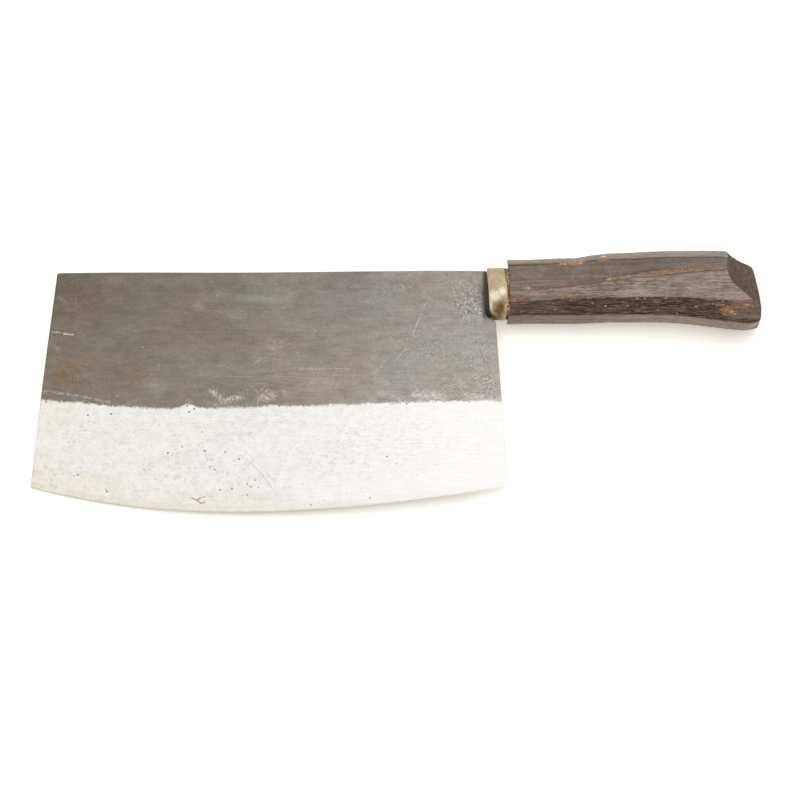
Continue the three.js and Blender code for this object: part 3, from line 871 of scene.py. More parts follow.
def rimAt(rows, y, z, under):
    # what the upper side shows, blended into a plain rim underneath
    upper = min(max((z - ferrule["blendFrom"]) / ferrule["blendOver"], 0.0), 1.0)
    return mix(under, float(np.interp(y, *zip(*rows))), upper)


ferruleLow = min(softSquare(2 * math.pi * i / 256, 0.0)[0] for i in range(256))


def makeFerruleMesh():
    rings = ferrule["rings"]
    bm = ringTube(ferrule["segments"], len(rings))
    for vert in bm.verts:
        angle = math.atan2(vert.co.y, vert.co.x)
        share, inset = rings[round(vert.co.z)]
        y, z = softSquare(angle, inset)
        front = rimAt(ferrule["frontRim"], y, z, ferrule["frontUnder"])
        ripple = noise.noise(Vector((math.cos(angle) * 5, math.sin(angle) * 5, 2.0)))
        rear = rimAt(ferrule["rearRim"], y, z, ferrule["rearUnder"]) + ferrule["ripple"] * ripple
        below = min(max(ferruleLow + ferrule["corner"] - y, 0.0), ferrule["corner"])
        back = ferrule["corner"] - math.sqrt(ferrule["corner"]**2 - below**2)
        x = mix(front + back, rear, share)
        if inset < 0.3:
            dent = noise.noise(Vector((x / 3.5, y / 4.5, z / 4.5))) * 0.6 + 0.4
            shrink = 1 - ferrule["dent"] * max(dent, 0.0) / 10
            y, z = y * shrink, z * shrink
        vert.co = (x, y, z)
    turnOut(bm)
    return bm


def makeBeadMesh():
    rings = bead["rings"]
    bm = ringTube(ferrule["segments"] * 2, len(rings))
    for vert in bm.verts:
        angle = math.atan2(vert.co.y, vert.co.x)
        share, inset = rings[round(vert.co.z)]
        lump = noise.noise(Vector((math.cos(angle) * 14, math.sin(angle) * 14, share * 2.5)))
        coarse = noise.noise(Vector((math.cos(angle) * 4, math.sin(angle) * 4, 7.0)))
        deep = bead["lumps"] * max(0.0, 0.3 + 0.6 * lump + 0.5 * coarse) if inset < 0.6 else 0.0
        y, z = softSquare(angle, bead["inset"] + inset + deep)
        front = rimAt(ferrule["rearRim"], y, z, ferrule["rearUnder"]) - bead["overlap"]
        rear = max(rimAt(handleRim, y, z, bead["under"]), front + bead["shortest"]) + bead["sunk"]
        vert.co = (mix(front, rear, share), y, z)
    turnOut(bm)
    return bm


brassLook = {
    "bright": (0.790, 0.725, 0.560), "tan": (0.395, 0.320, 0.205), "olive": (0.410, 0.345, 0.155),
    "brown": (0.165, 0.096, 0.032), "rust": (0.780, 0.520, 0.350),
    # places on the upper side, as x, y, reach x, reach y, ragged, grain, strength
    # the first list paints the highlight where light glints across the ferrule's upper side
    "paintedGlint": [
        (3.8, -3.4, 4.2, 3.6, 0.4, 3.0, 1.0), (7.4, -1.8, 3.2, 2.8, 0.4, 3.0, 0.9),
        (2.0, -6.4, 1.5, 4.6, 0.3, 2.0, 0.7),
    ],
    "stained": [
        (6.6, -7.8, 4.4, 3.6, 0.5, 2.5, 1.0), (5.6, -9.6, 3.6, 2.8, 0.6, 2.0, 1.0),
        (4.2, -11.6, 5.0, 2.4, 0.6, 2.0, 0.8),
    ],
    "gluey": [(9.6, -7.8, 2.4, 4.8, 0.8, 0.8, 1.0), (9.2, 6.5, 0.8, 4.5, 1.0, 0.9, 0.8)],
}


def makeFerruleBrass():
    material, tree, shader = newMaterial("worn ferrule brass")
    place = knifePlace(tree)
    x, y, z = splitPlace(tree, place)
    level = joinPlace(tree, x, y, 0.0)
    cloud = patchesAt(tree, place, 4.0, 0.35, 0.65, 3.0)
    tone = shade(tree, brassLook["tan"], cloud, 0.9, 1.12)
    green = times(tree, remap(tree, x, 3.0, 7.5), remap(tree, y, 1.5, 7.0))
    tone = tint(tree, times(tree, green, 0.6), tone, brassLook["olive"])
    # painted highlight: the glint is laid into the brass colour, and the brass is a little smoother there
    paintedGlint = blotsOn(tree, level, brassLook["paintedGlint"])
    tone = tint(tree, paintedGlint, tone, brassLook["bright"])
    lines = turnedStreaks(tree, place, 82.0, 5.0, 0.5, 4.0)
    tone = shade(tree, tone, lines, 0.86, 1.12)
    stain = blotsOn(tree, level, brassLook["stained"])
    spots = specksAt(tree, place, 2.2, 0.3, 0.22)
    stain = most(tree, stain, times(tree, spots, 0.3))
    front = times(tree, remap(tree, x, 1.7, 0.6), remap(tree, lines, 0.3, 0.7, 0.3, 0.8, "LINEAR"))
    stain = most(tree, stain, times(tree, front, 0.45))
    tone = tint(tree, times(tree, stain, 0.95), tone, brassLook["brown"])
    curls = useGroup(tree, strands, Vector=place, Size=2.2, Thin=0.13, Seed=25.0)
    glue = blotsOn(tree, level, brassLook["gluey"])
    tone = tint(tree, times(tree, glue, 0.75), tone, brassLook["brown"])
    tone = tint(tree, times(tree, glue, curls, 0.9), tone, brassLook["rust"])
    tree.links.new(tone, shader.inputs["Base Color"])
    tree.links.new(remap(tree, glue, 0.2, 0.7, 1.0, 0.1), shader.inputs["Metallic"])
    rough = plus(
        tree, remap(tree, paintedGlint, 0.0, 1.0, 0.42, 0.26, "LINEAR"),
        times(tree, most(tree, stain, glue), 0.2))
    tree.links.new(rough, shader.inputs["Roughness"])
    height = plus(tree, lines, times(tree, cloud, 1.5))
    height = plus(tree, height, times(tree, glue, curls, 3.0))
    addBump(tree, shader, height, 0.35, 0.06)
    return material


resinLook = {
    "amber": (0.400, 0.235, 0.095), "dark": (0.060, 0.033, 0.017), "fibre": (0.660, 0.450, 0.280),
    # the mouth colour is painted shade, near black for the shadowed gap in the ferrule's mouth
    "mouth": (0.020, 0.014, 0.009),
}


def makeResin():
    material, tree, shader = newMaterial("squeezed resin")
    place = knifePlace(tree)
    cloud = patchesAt(tree, place, 1.6, 0.35, 0.65, 3.0)
    tone = tint(tree, cloud, resinLook["amber"], resinLook["dark"])
    fibres = patchesAt(tree, place, 0.9, 0.54, 0.64, 12.0)
    where = patchesAt(tree, place, 6.0, 0.42, 0.6, 2.0)
    fibres = times(tree, fibres, where)
    tone = tint(tree, fibres, tone, resinLook["fibre"])
    curls = useGroup(tree, strands, Vector=place, Size=2.2, Thin=0.13, Seed=25.0)
    curls = times(tree, curls, useGroup(
        tree, blot, Vector=place, Centre=(10.2, -8.0, 6.0), Reach=(3.6, 5.2, 11.0), Ragged=0.6, Grain=2.0))
    tone = tint(tree, times(tree, curls, 0.9), tone, brassLook["rust"])
    x, y, z = splitPlace(tree, place)
    # painted shade: in front of x 5 to 6.5 the plug turns near black, standing for the shadowed gap behind
    # the ferrule's front rim
    tone = tint(tree, remap(tree, x, 6.5, 5.0), tone, shade(tree, resinLook["mouth"], cloud, 0.6, 1.6))
    tree.links.new(tone, shader.inputs["Base Color"])
    tree.links.new(remap(tree, cloud, 0.0, 1.0, 0.42, 0.62, "LINEAR"), shader.inputs["Roughness"])
    addBump(tree, shader, plus(tree, cloud, fibres), 0.5, 0.12)
    return material


# Resin round the tang: the CAD's bedding, and the plug that closes the ferrule's mouth in front of it,
# near black there as painted shade for the shadowed gap

plug = {
    "rings": [(0.0, 1.0), (0.0, 0.35), (0.12, 0.06), (0.25, 0.0), (0.6, 0.0), (1.0, 0.0), (1.0, 1.0)],
    "inset": 1.2, "length": 2.4, "ahead": 0.04, "hole": (6.5, 2.6),
}


def makeBeddingMesh():
    rings = plug["rings"]
    ring = ringTube(ferrule["segments"], len(rings))
    for vert in ring.verts:
        angle = math.atan2(vert.co.y, vert.co.x)
        share, inward = rings[round(vert.co.z)]
        outer = Vector(softSquare(angle, plug["inset"]))
        sizes = (ferrule["height"], ferrule["depth"])
        inner = Vector([hole * way / size for hole, way, size in zip(plug["hole"], outer, sizes)]) * 2
        y, z = outer.lerp(inner, inward)
        rise = min(max(y - blade["notchFloor"], 0.05), blade["notchRound"])
        front = blade["notchRound"] - math.sqrt(blade["notchRound"]**2 - (blade["notchRound"] - rise)**2)
        vert.co = (front - plug["ahead"] + share * plug["length"], y, z)
    turnOut(ring)
    mouth = bpy.data.meshes.new("ferruleMouth")
    ring.to_mesh(mouth)
    ring.free()
    bm = bmesh.new()
    bm.from_mesh(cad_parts["tang_bedding"].data)
    bmesh.ops.remove_doubles(bm, verts=bm.verts[:], dist=1e-6)
    bmesh.ops.transform(bm, matrix=rowToKnife, verts=bm.verts[:])
    bm.from_mesh(mouth)
    bpy.data.meshes.remove(mouth)
    return bm


resin = makeResin()
placePiece(finishPiece(makeFerruleMesh(), "brassFerrule", makeFerruleBrass(), 50), "ferrule")
placePiece(finishPiece(makeBeadMesh(), "ferruleResin", resin, 60), "ferrule_bead")
placePiece(finishPiece(makeBeddingMesh(), "tangResinAndMouthShade", resin, 40), "tang_bedding")


# Handle: the CAD solid cut into small faces, then whittled, torn and worn inwards

handle = {
    "front": 9.0, "length": 110.3, "frontHeight": 27.6, "frontThick": 25.0, "frontRise": 0.35,
    "buttHeight": 34.9, "buttThick": 27.4, "buttRise": 0.85, "waist": 0.5, "voxel": 0.43,
    "backSwell": (0.05, 0.66), "fingerSwell": (0.62, 0.97), "wander": (0.0, 0.87),
    # ridges between the facets: across, deep, across at the butt, on the fingers' side
    "ridges": [
        (1.0, 0.38, 1.0, False), (0.79, 0.65, 0.79, False), (-0.11, 0.98, 0.5, False),
        (-0.45, 0.96, -0.45, True), (-0.86, 0.47, -0.92, True), (-1.0, -0.1, -1.0, True),
        (-0.85, -0.62, -0.85, True), (-0.4, -0.96, -0.4, True), (0.38, -1.0, 0.38, False),
        (0.84, -0.64, 0.84, False), (1.0, -0.14, 1.0, False),
    ],
    # brightness of each facet, the wood's own tone together with painted light and shade for how each
    # facet slopes, from the strip along the back over the top and round underneath
    "facetToneAndShade": [1.14, 0.84, 1.06, 0.95, 1.06, 0.9, 0.98, 0.9, 1.0, 0.94, 0.92],
    # where it changes along x
    "toneAndShadeRuns": [
        (1, [(9, 0.90), (30, 0.88), (45, 0.82), (65, 0.73), (119, 0.70)]),
        (3, [(9, 1.0), (98, 1.0), (110, 1.15)]),
        (2, [(9, 1.20), (28, 1.12), (38, 1.0), (54, 1.0), (66, 1.27), (105, 1.27), (119, 1.15)]),
        (4, [(9, 1.43), (60, 1.45), (100, 1.62)]),
    ],
    "stripRun": [(9, -1.0), (26, -0.9), (40, 0.1), (60, 0.3), (119, 0.3)],
    "strip": 0, "upper": 1, "middle": 2, "dark": 3, "lower": 4,
    # the butt's hollow, between two planes, and its cut corner: way out, distance from the butt's centre
    "hollow": [((0.97, 0.05, 0.24), -10.5), ((0.54, 0.59, 0.64), 2.71)], "hollowRound": 3.6,
    "corner": ((0.4, -0.92, -0.05), 12.4), "cornerRound": 1.4, "lipRound": 2.4, "core": (0.6, 0.0),
    "wear": (0.6, 3.2), "wearRun": (8.0, 14.0),     # its edge's rounding, and where along y it grows
    # where the butt ends, as x at some places from the heel's side to the spine's
    "buttLine": [(-20.0, 119.3), (-3.5, 119.3), (2.0, 118.9), (8.5, 118.3), (12.0, 117.8)],
    # how far the knife left the back and the finger side proud of their even lines, along x
    "backBumps": [
        (9, 0.3), (18, 0.2), (25, 0.3), (32, 0.2), (39, -0.3), (46, 0.35), (53, 0.55), (60, 0.15),
        (67, 0.0), (95, 0.0), (102, -0.2), (110, 0.0),
    ],
    "fingerBumps": [
        (9, 0.2), (18, 0.05), (25, 0.2), (32, 0.3), (39, 0.47), (46, 0.3), (53, 0.02), (60, 0.08),
        (67, 0.13), (74, 0.2), (81, 0.33), (88, 0.25), (95, 0.16), (109, 0.1),
    ],
    # torn places on a ridge: ridge, x from, x to, half width, brightness
    "chips": [
        (1, 32.0, 42.0, 1.5, 0.8), (1, 50.4, 53.4, 1.4, 1.0), (2, 15.8, 20.0, 0.8, 1.0),
        (2, 52.5, 57.0, 0.8, 0.8), (2, 58.0, 62.0, 0.9, 0.9), (4, 71.0, 84.0, 0.6, 0.3),
        (3, 9.5, 13.2, 0.8, 0.9), (5, 30.0, 41.0, 0.8, 0.7), (8, 55.0, 66.0, 0.9, 0.7),
        (9, 22.0, 31.0, 0.8, 0.7), (10, 74.0, 88.0, 0.9, 0.7),
    ],
    # red-brown heartwood, as places on a facet: facet, x, below its upper ridge or with a minus above its
    # lower one, reach x, reach down, strength
    "redPlaces": [
        (2, 14.5, -0.5, 6.0, 0.9, 0.8), (2, 32.0, -0.9, 5.0, 1.1, 0.4), (2, 26.0, 0.9, 10.0, 0.8, 0.5),
        (3, 113.0, 3.0, 10.0, 4.0, 0.62), (3, 15.0, 0.5, 8.0, 1.1, 0.9),
        (1, 35.0, 3.2, 6.0, 0.7, 0.4), (2, 90.0, 5.6, 4.6, 1.1, 0.55),
        (3, 70.0, 6.4, 22.0, 1.2, 0.25), (2, 40.0, -0.6, 4.0, 0.6, 0.35), (2, 11.5, -1.6, 3.0, 1.0, 0.5),
        (4, 30.0, 3.0, 26.0, 4.0, 0.16),
    ],
    # pale orange places and cream ones, in the same way
    "orangePlaces": [
        (3, 105.0, 5.4, 4.0, 1.9, 1.0), (3, 101.0, 2.6, 3.0, 0.8, 0.7), (2, 89.5, 5.5, 3.0, 0.45, 0.45),
        (3, 113.0, 2.2, 2.4, 0.6, 0.6), (0, 51.0, 2.5, 2.2, 1.2, 0.9), (3, 108.0, 3.4, 6.0, 0.5, 0.5),
        (2, 34.0, -0.9, 7.0, 1.0, 0.4),
    ],
    "creamPlaces": [
        (0, 51.2, 2.6, 1.7, 1.1, 1.0), (3, 106.5, 5.6, 0.8, 0.5, 0.8), (2, 53.5, 0.4, 1.2, 0.4, 0.7),
    ],
    # red band along a ridge: where it starts, is full, fades and ends, and how wide it is on both sides
    "bandRidge": 2, "bandFrom": 58.0, "bandFull": 76.0, "bandFades": 103.5, "bandEnds": 106.0,
    "bandDown": 1.9, "bandUp": 0.4,
    # how far the knife, the grain and wear went into the wood
    "waveDepth": 0.12, "darkDepth": (0.34, 0.30), "fibreDepth": (0.07, 0.05), "wornDepth": 0.10,
    "chipDepth": (0.26, 0.25), "bandDepth": (0.15, 0.2), "furrowDepth": 0.16, "endDepth": 0.10,
    "deepest": 0.9, "endGrainTurn": 0.9, "facetReach": 0.32, "paredLength": 6.0, "offFacet": 99.0,
    # the butt is carved behind this x, in short steps towards its form
    "carveFrom": 95.0, "carveRounds": 4, "carveProbe": 0.05, "carveStep": 0.6, "leastLean": 0.3,
}


def ridgePlaces(along):
    places = []
    for across, deep, acrossButt, onFingers in handle["ridges"]:
        swell = handle["fingerSwell"] if onFingers else handle["backSwell"]
        height = mix(handle["frontHeight"], handle["buttHeight"], ease(along, *swell))
        thick = mix(handle["frontThick"], handle["buttThick"], along)
        middle = mix(handle["frontRise"], handle["buttRise"], along)
        if onFingers:
            middle = middle + handle["waist"] * np.sin(np.pi * along)
        here = mix(across, acrossButt, ease(along, *handle["wander"]))
        places.append(np.stack((middle + here * height / 2, deep * thick / 2), axis=1))
    return places


def cadShell(node, voxel):
    bm = bmesh.new()
    bm.from_mesh(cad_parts[node].data)
    bmesh.ops.remove_doubles(bm, verts=bm.verts[:], dist=1e-6)
    bmesh.ops.transform(bm, matrix=rowToKnife, verts=bm.verts[:])
    blank = bpy.data.objects.new(node + "Blank", bpy.data.meshes.new(node + "Blank"))
    bm.to_mesh(blank.data)
    bm.free()
    bpy.context.scene.collection.objects.link(blank)
    carve = blank.modifiers.new("smallFaces", "REMESH")
    carve.mode = "VOXEL"
    carve.voxel_size = voxel
    shell = bpy.data.meshes.new_from_object(blank.evaluated_get(bpy.context.evaluated_depsgraph_get()))
    bpy.data.objects.remove(blank)
    return shell


def readVectors(mesh, what):
    flat = np.empty(len(mesh.vertices) * 3)
    mesh.vertices.foreach_get(what, flat)
    return flat.reshape(-1, 3)


def softLeast(a, b, turn):
    blend = np.clip(turn - np.abs(a - b), 0.0, None) / turn
    return np.minimum(a, b) - blend * blend * turn / 4


def softMost(a, b, turn):
    return -softLeast(-a, -b, turn)


def planeGap(points, plane):
    out = np.array(plane[0]) / np.linalg.norm(plane[0])
    butt = np.array((handle["front"] + handle["length"], 0.0, 0.0))
    return (points - butt) @ out - plane[1]


def facetPlaces(points):
    # nearest facet, the distances to its two ridges, and the way back onto its plane
    along = between((points[:, 0] - handle["front"]) / handle["length"])
    corners = ridgePlaces(along)
    count = len(corners)
    flat = points[:, 1:]
    best = np.full(len(points), 1e9)
    facet = np.zeros(len(points), int)
    down, up, pull = np.zeros(len(points)), np.zeros(len(points)), np.zeros_like(flat)
    for index in range(count):
        start, run = corners[index], corners[(index + 1) % count] - corners[index]
        length = np.linalg.norm(run, axis=1)
        share = between(((flat - start) * run).sum(1) / length**2)
        foot = start + run * share[:, None]
        gap = np.linalg.norm(flat - foot, axis=1)
        near = gap < best
        best[near], facet[near] = gap[near], index
        down[near], up[near] = (share * length)[near], ((1 - share) * length)[near]
        pull[near] = (foot - flat)[near]
    return facet, best, down, up, pull


def carvedGaps(points):
    # how far a point lies outside the facets, outside the cut end, and outside both with their edges worn
    _, best, _, _, pull = facetPlaces(points)
    outside = ((points[:, 1:] - np.array(handle["core"])) * pull).sum(1) < 0
    sides = np.where(outside, best, -best)
    steep, slope = (planeGap(points, plane) for plane in handle["hollow"])
    scooped = softLeast(steep, slope, handle["hollowRound"])
    flat = points[:, 0] - np.interp(points[:, 1], *zip(*handle["buttLine"]))
    end = softMost(scooped, flat, handle["lipRound"])
    end = softMost(end, planeGap(points, handle["corner"]), handle["cornerRound"])
    turn = mix(*handle["wear"], ease(points[:, 1], *handle["wearRun"]))
    return sides, end, softMost(sides, end, turn)


def carveEnd(points):
    # move the points near the butt onto the carved form, a short step at a time
    moved = points.copy()
    probe, longest = handle["carveProbe"], handle["carveStep"]
    for _ in range(handle["carveRounds"]):
        gap = carvedGaps(moved)[2]
        lean = np.stack([(carvedGaps(moved + way)[2] - gap) / probe for way in np.eye(3) * probe], axis=1)
        steep = np.clip((lean * lean).sum(1), handle["leastLean"], None)
        step = np.clip(gap / steep, -longest, longest)
        moved -= lean * step[:, None]
    return moved


def facetSpots(rows, where, frayed, full, none):
    facet, x, down, up = where
    total = np.zeros(len(x))
    for place, atX, atDown, reachX, reachDown, strength in rows:
        off = down - atDown if atDown > 0 else up + atDown
        away = np.hypot((x - atX) / reachX, off / reachDown) + frayed
        total = np.maximum(total, (facet == place) * (1 - ease(away, full, none)) * strength)
    return total


def makeHandlePiece(material):
    mesh = cadShell("handle", handle["voxel"])
    points = readVectors(mesh, "co")
    count = len(handle["ridges"])
    rear = points[:, 0] > handle["carveFrom"]
    carved = points.copy()
    carved[rear] = carveEnd(points[rear])
    facet, best, down, up, pull = facetPlaces(points)
    side = (best < handle["facetReach"]) & (points[:, 0] > handle["front"] + 0.2)
    points[side & ~rear, 1:] += pull[side & ~rear]      # true planes again, so the light runs evenly
    points[rear] = carved[rear]
    facet, best, down, up, pull = facetPlaces(points)
    sides, end, _ = carvedGaps(points)
    rubbed = ease(points[:, 1], 7.0, 12.0)      # the end's worn upper edge keeps the sides' colour
    cut = ease(end - sides, -0.3 + 0.2 * rubbed, 0.1 + 1.5 * rubbed)
    cut = cut * rear * (1 - ease(planeGap(points, handle["corner"]), -0.6, -0.1))
    onSide = np.where(rear, cut < 0.5, side)

    # front end pared hollow
    rim = np.interp(points[:, 1], *zip(*handleRim)) - handle["front"]
    fade = between(1 - (points[:, 0] - handle["front"]) / handle["paredLength"])
    points[:, 0] += np.where(points[:, 0] > handle["front"] - 0.15, rim * fade, 0.0)
    mesh.vertices.foreach_set("co", points.ravel())
    mesh.update()
    normals = readVectors(mesh, "normal")

    # distance to each ridge, only where the point lies on one of its two facets
    toRidge = np.full((len(points), count), handle["offFacet"])
    for index in range(count):
        toRidge[facet == index, index] = down[facet == index]
        toRidge[facet == index, (index + 1) % count] = up[facet == index]
    nearest = toRidge.min(axis=1)
    side = np.where(rear, 1 - cut, side)
    x = points[:, 0]

    wave = noiseAt(points, (15.0, 8.0, 8.0), 3.0)
    grainWide = noiseAt(points, (10.0, 1.0, 1.0), 11.0)
    grainFine = noiseAt(points, (4.0, 0.55, 0.55), 23.0)
    rough = noiseAt(points, (2.4, 0.8, 0.8), 31.0)
    crumb = noiseAt(points, (1.0, 0.6, 0.6), 41.0)
    wander = noiseAt(points * np.array((1.0, 0.0, 0.0)), (7.0, 1.0, 1.0), 57.0)

    isDark = (facet == handle["dark"]) * side
    lowered = down - 1.0 * (1 - ease(x, 17.0, 32.0))
    frayed = ease(np.minimum(lowered * 0.8, up * 1.4) + 0.35 * rough + 0.25 * crumb, -0.05, 0.35)
    dark = isDark * frayed * (1 - 0.62 * ease(x + 3 * rough, 103.0, 110.0) * ease(up + rough, 1.2, 2.6))
    dark = dark * (1 - 0.16 * (1 - ease(x, 26.0, 44.0)))
    roughX = x + 2 * rough
    chip = np.zeros(len(points))
    for ridge, fromX, toX, half, bright in handle["chips"]:
        ends = ease(roughX, fromX - 1.0, fromX + 0.6) * (1 - ease(roughX, toX - 0.6, toX + 1.0))
        torn = ends * (1 - ease(toRidge[:, ridge] + 0.35 * crumb, half * 0.5, half))
        chip = np.maximum(chip, torn * bright)
    where = facet, x, down, up
    orange = facetSpots(handle["orangePlaces"], where, 0.7 * crumb + 0.3 * rough, 0.45, 1.0)
    orange = np.maximum(chip, orange)
    cream = facetSpots(handle["creamPlaces"], where, 0.4 * crumb, 0.5, 0.95)
    red = facetSpots(handle["redPlaces"], where, 0.6 * rough, 0.5, 1.1)

    # the red band below the rear of the wandering ridge, and the thin red line on the rest of it
    below = np.where(facet == handle["middle"], down, handle["offFacet"])
    above = np.where(facet == handle["upper"], up, handle["offFacet"])
    bandOn = ease(x, handle["bandFrom"], handle["bandFull"])
    bandOn = bandOn * (1 - ease(x, handle["bandFades"], handle["bandEnds"]))
    wide = handle["bandDown"] * (0.35 + 0.65 * bandOn) + 0.3 * rough
    narrow = handle["bandUp"]
    band = 1 - np.minimum(ease(below, wide * 0.75, wide), ease(above, narrow * 0.4, narrow))
    band = band * bandOn * side
    line = 1 - ease(toRidge[:, handle["bandRidge"]] + 0.2 * crumb, 0.2, 0.65)
    line = line * ease(wander + 0.35, -0.2, 0.5) * side
    worn = (1 - ease(nearest + 0.12 * crumb, 0.1, 0.5)) * side
    red = np.maximum(np.maximum(red, 0.85 * band), np.maximum(0.8 * line, 0.25 * worn))
    orange = np.maximum(orange, band * (0.06 + 0.4 * ease(crumb, 0.15, 0.5)))

    # how rough each place is, and the furrows under the strip and beside the ridges, cut in and darkened
    # as painted shade
    onMiddle, onUpper = (facet == handle["middle"]) * 1.0, (facet == handle["upper"]) * 1.0
    fibrous = 0.35 + onMiddle * (0.55 * ease(x, 25.0, 46.0) - 0.35 * ease(x, 60.0, 84.0)) - 0.25 * onUpper
    fibrous = fibrous * side
    smooth = 0.42 * onUpper + 0.35 * onMiddle * ease(x, 60.0, 84.0) + 0.3 * (facet == handle["lower"])
    onDark = facet == handle["dark"]
    furrowAndShade = onUpper * (1 - ease(np.abs(down - 0.7 - 0.5 * wander) + 0.2 * crumb, 0.2, 0.7))
    shadeAboveRidge = 0.8 * (1 - ease(np.abs(above - 0.75) + 0.25 * rough, 0.1, 0.45))
    furrowAndShade = np.maximum(furrowAndShade, shadeAboveRidge * (1 - ease(x, 72.0, 84.0)))
    furrowAndShade = np.maximum(furrowAndShade, 1 - ease(np.abs(below - 2.1 * bandOn - 0.6) + 0.25 * rough, 0.15, 0.75))
    furrowAndShade = np.maximum(furrowAndShade, onDark * (1 - ease(up + 0.2 * crumb, 0.15, 0.6)))
    # a pale strip below the dark facet's upper ridge at the rear, and a painted highlight along the ridge
    # above the red band
    paleStripAndHighlight = onDark * (1 - ease(np.abs(down - 1.2) + 0.4 * rough, 0.35, 0.8))
    paleStripAndHighlight = paleStripAndHighlight * ease(x + 3 * rough, 95.0, 101.0)
    paleStripAndHighlight = np.maximum(
        paleStripAndHighlight, (1 - ease(np.abs(above - 0.6) + 0.2 * rough, 0.15, 0.4)) * ease(x, 74.0, 86.0) * bandOn)

    depth = side * handle["waveDepth"] * (0.5 + 0.5 * wave)
    wide, fine = handle["darkDepth"]
    depth += dark * (wide * between(grainWide + 0.2) + fine * between(grainFine + 0.1))
    wide, fine = handle["fibreDepth"]
    depth += fibrous * (wide * between(grainFine) + fine * between(rough))
    depth += worn * handle["wornDepth"] * (0.7 + 0.6 * rough)
    least, more = handle["chipDepth"]
    depth += chip * side * (least + more * between(rough + 0.3))
    least, more = handle["bandDepth"]
    depth += band * (least + more * between(crumb + 0.2))
    depth += furrowAndShade * side * handle["furrowDepth"]
    turned = points @ np.array(Matrix.Rotation(handle["endGrainTurn"], 3, "Z"))
    depth += cut * handle["endDepth"] * (0.5 + 0.5 * noiseAt(turned, (5.0, 0.7, 2.0), 51.0))
    points -= normals * np.clip(depth, 0.0, handle["deepest"])[:, None]
    points[:, 1] += np.interp(x, *zip(*handle["backBumps"])) * ease(points[:, 1], 7.0, 12.0)
    points[:, 1] -= np.interp(x, *zip(*handle["fingerBumps"])) * ease(-points[:, 1], 7.0, 12.0)
    mesh.vertices.foreach_set("co", points.ravel())
    mesh.update()

    # painted light and shade: each facet's brightness follows how it faces the light, as well as the
    # wood's own tone
    facetToneAndShade = np.tile(handle["facetToneAndShade"], (len(points), 1))
    for index, run in handle["toneAndShadeRuns"]:
        facetToneAndShade[:, index] = np.interp(x, *zip(*run))
    here = np.arange(len(points))
    own = facetToneAndShade[here, facet]
    neighbour = np.where(down < up, facetToneAndShade[here, (facet - 1) % count], facetToneAndShade[here, (facet + 1) % count])
    share = 0.5 * (1 - ease(np.minimum(down, up), 0.0, 0.4))
    tone = own * (1 - share) + neighbour * share
    tone = np.where(onSide, tone, 0.85) * (1 - 0.46 * furrowAndShade * side) + 0.35 * paleStripAndHighlight * side
    stripWide = np.interp(x, *zip(*handle["stripRun"])) + 0.7 * wander
    strip = np.where(facet == handle["strip"], ease(up + stripWide, -0.2, 0.2), 0.0)
    strip = np.maximum(strip, onUpper * (1 - ease(down - stripWide, -0.2, 0.2)))
    piece = bpy.data.objects.new("whittledHandle", mesh)
    bpy.context.scene.collection.objects.link(piece)
    mesh.name = "whittledHandle"
    mesh.materials.clear()
    mesh.materials.append(material)
    mesh.shade_smooth()
    for name, values in (
        ("tone", tone), ("darkWood", dark), ("tornWood", between(orange * side)),
        ("redWood", between(red * side)), ("fibrousWood", fibrous), ("endGrain", cut),
        ("stripWood", strip * side), ("smoothWood", smooth * side), ("creamWood", cream * side),
    ):
        storeValues(mesh, name, values)
    return piece


woodLook = {
    "pale": (0.315, 0.246, 0.204), "deep": (0.168, 0.122, 0.096), "pore": (0.060, 0.040, 0.030),
    "lilac": (0.318, 0.266, 0.252), "fleck": (0.460, 0.378, 0.322),
    "darkLow": (0.026, 0.014, 0.009), "darkHigh": (0.142, 0.088, 0.061),
    "darkPale": (0.350, 0.262, 0.205), "speck": (0.640, 0.500, 0.385),
    "red": (0.186, 0.086, 0.056), "tan": (0.360, 0.232, 0.132),
    "orange": (0.490, 0.186, 0.070), "cream": (0.800, 0.610, 0.430),
    "endLow": (0.080, 0.052, 0.036), "endHigh": (0.172, 0.116, 0.084), "olive": (0.314, 0.270, 0.206),
    "even": (0.243, 0.187, 0.156), "rubbed": (0.200, 0.116, 0.080), "sheen": (0.262, 0.216, 0.214),
}


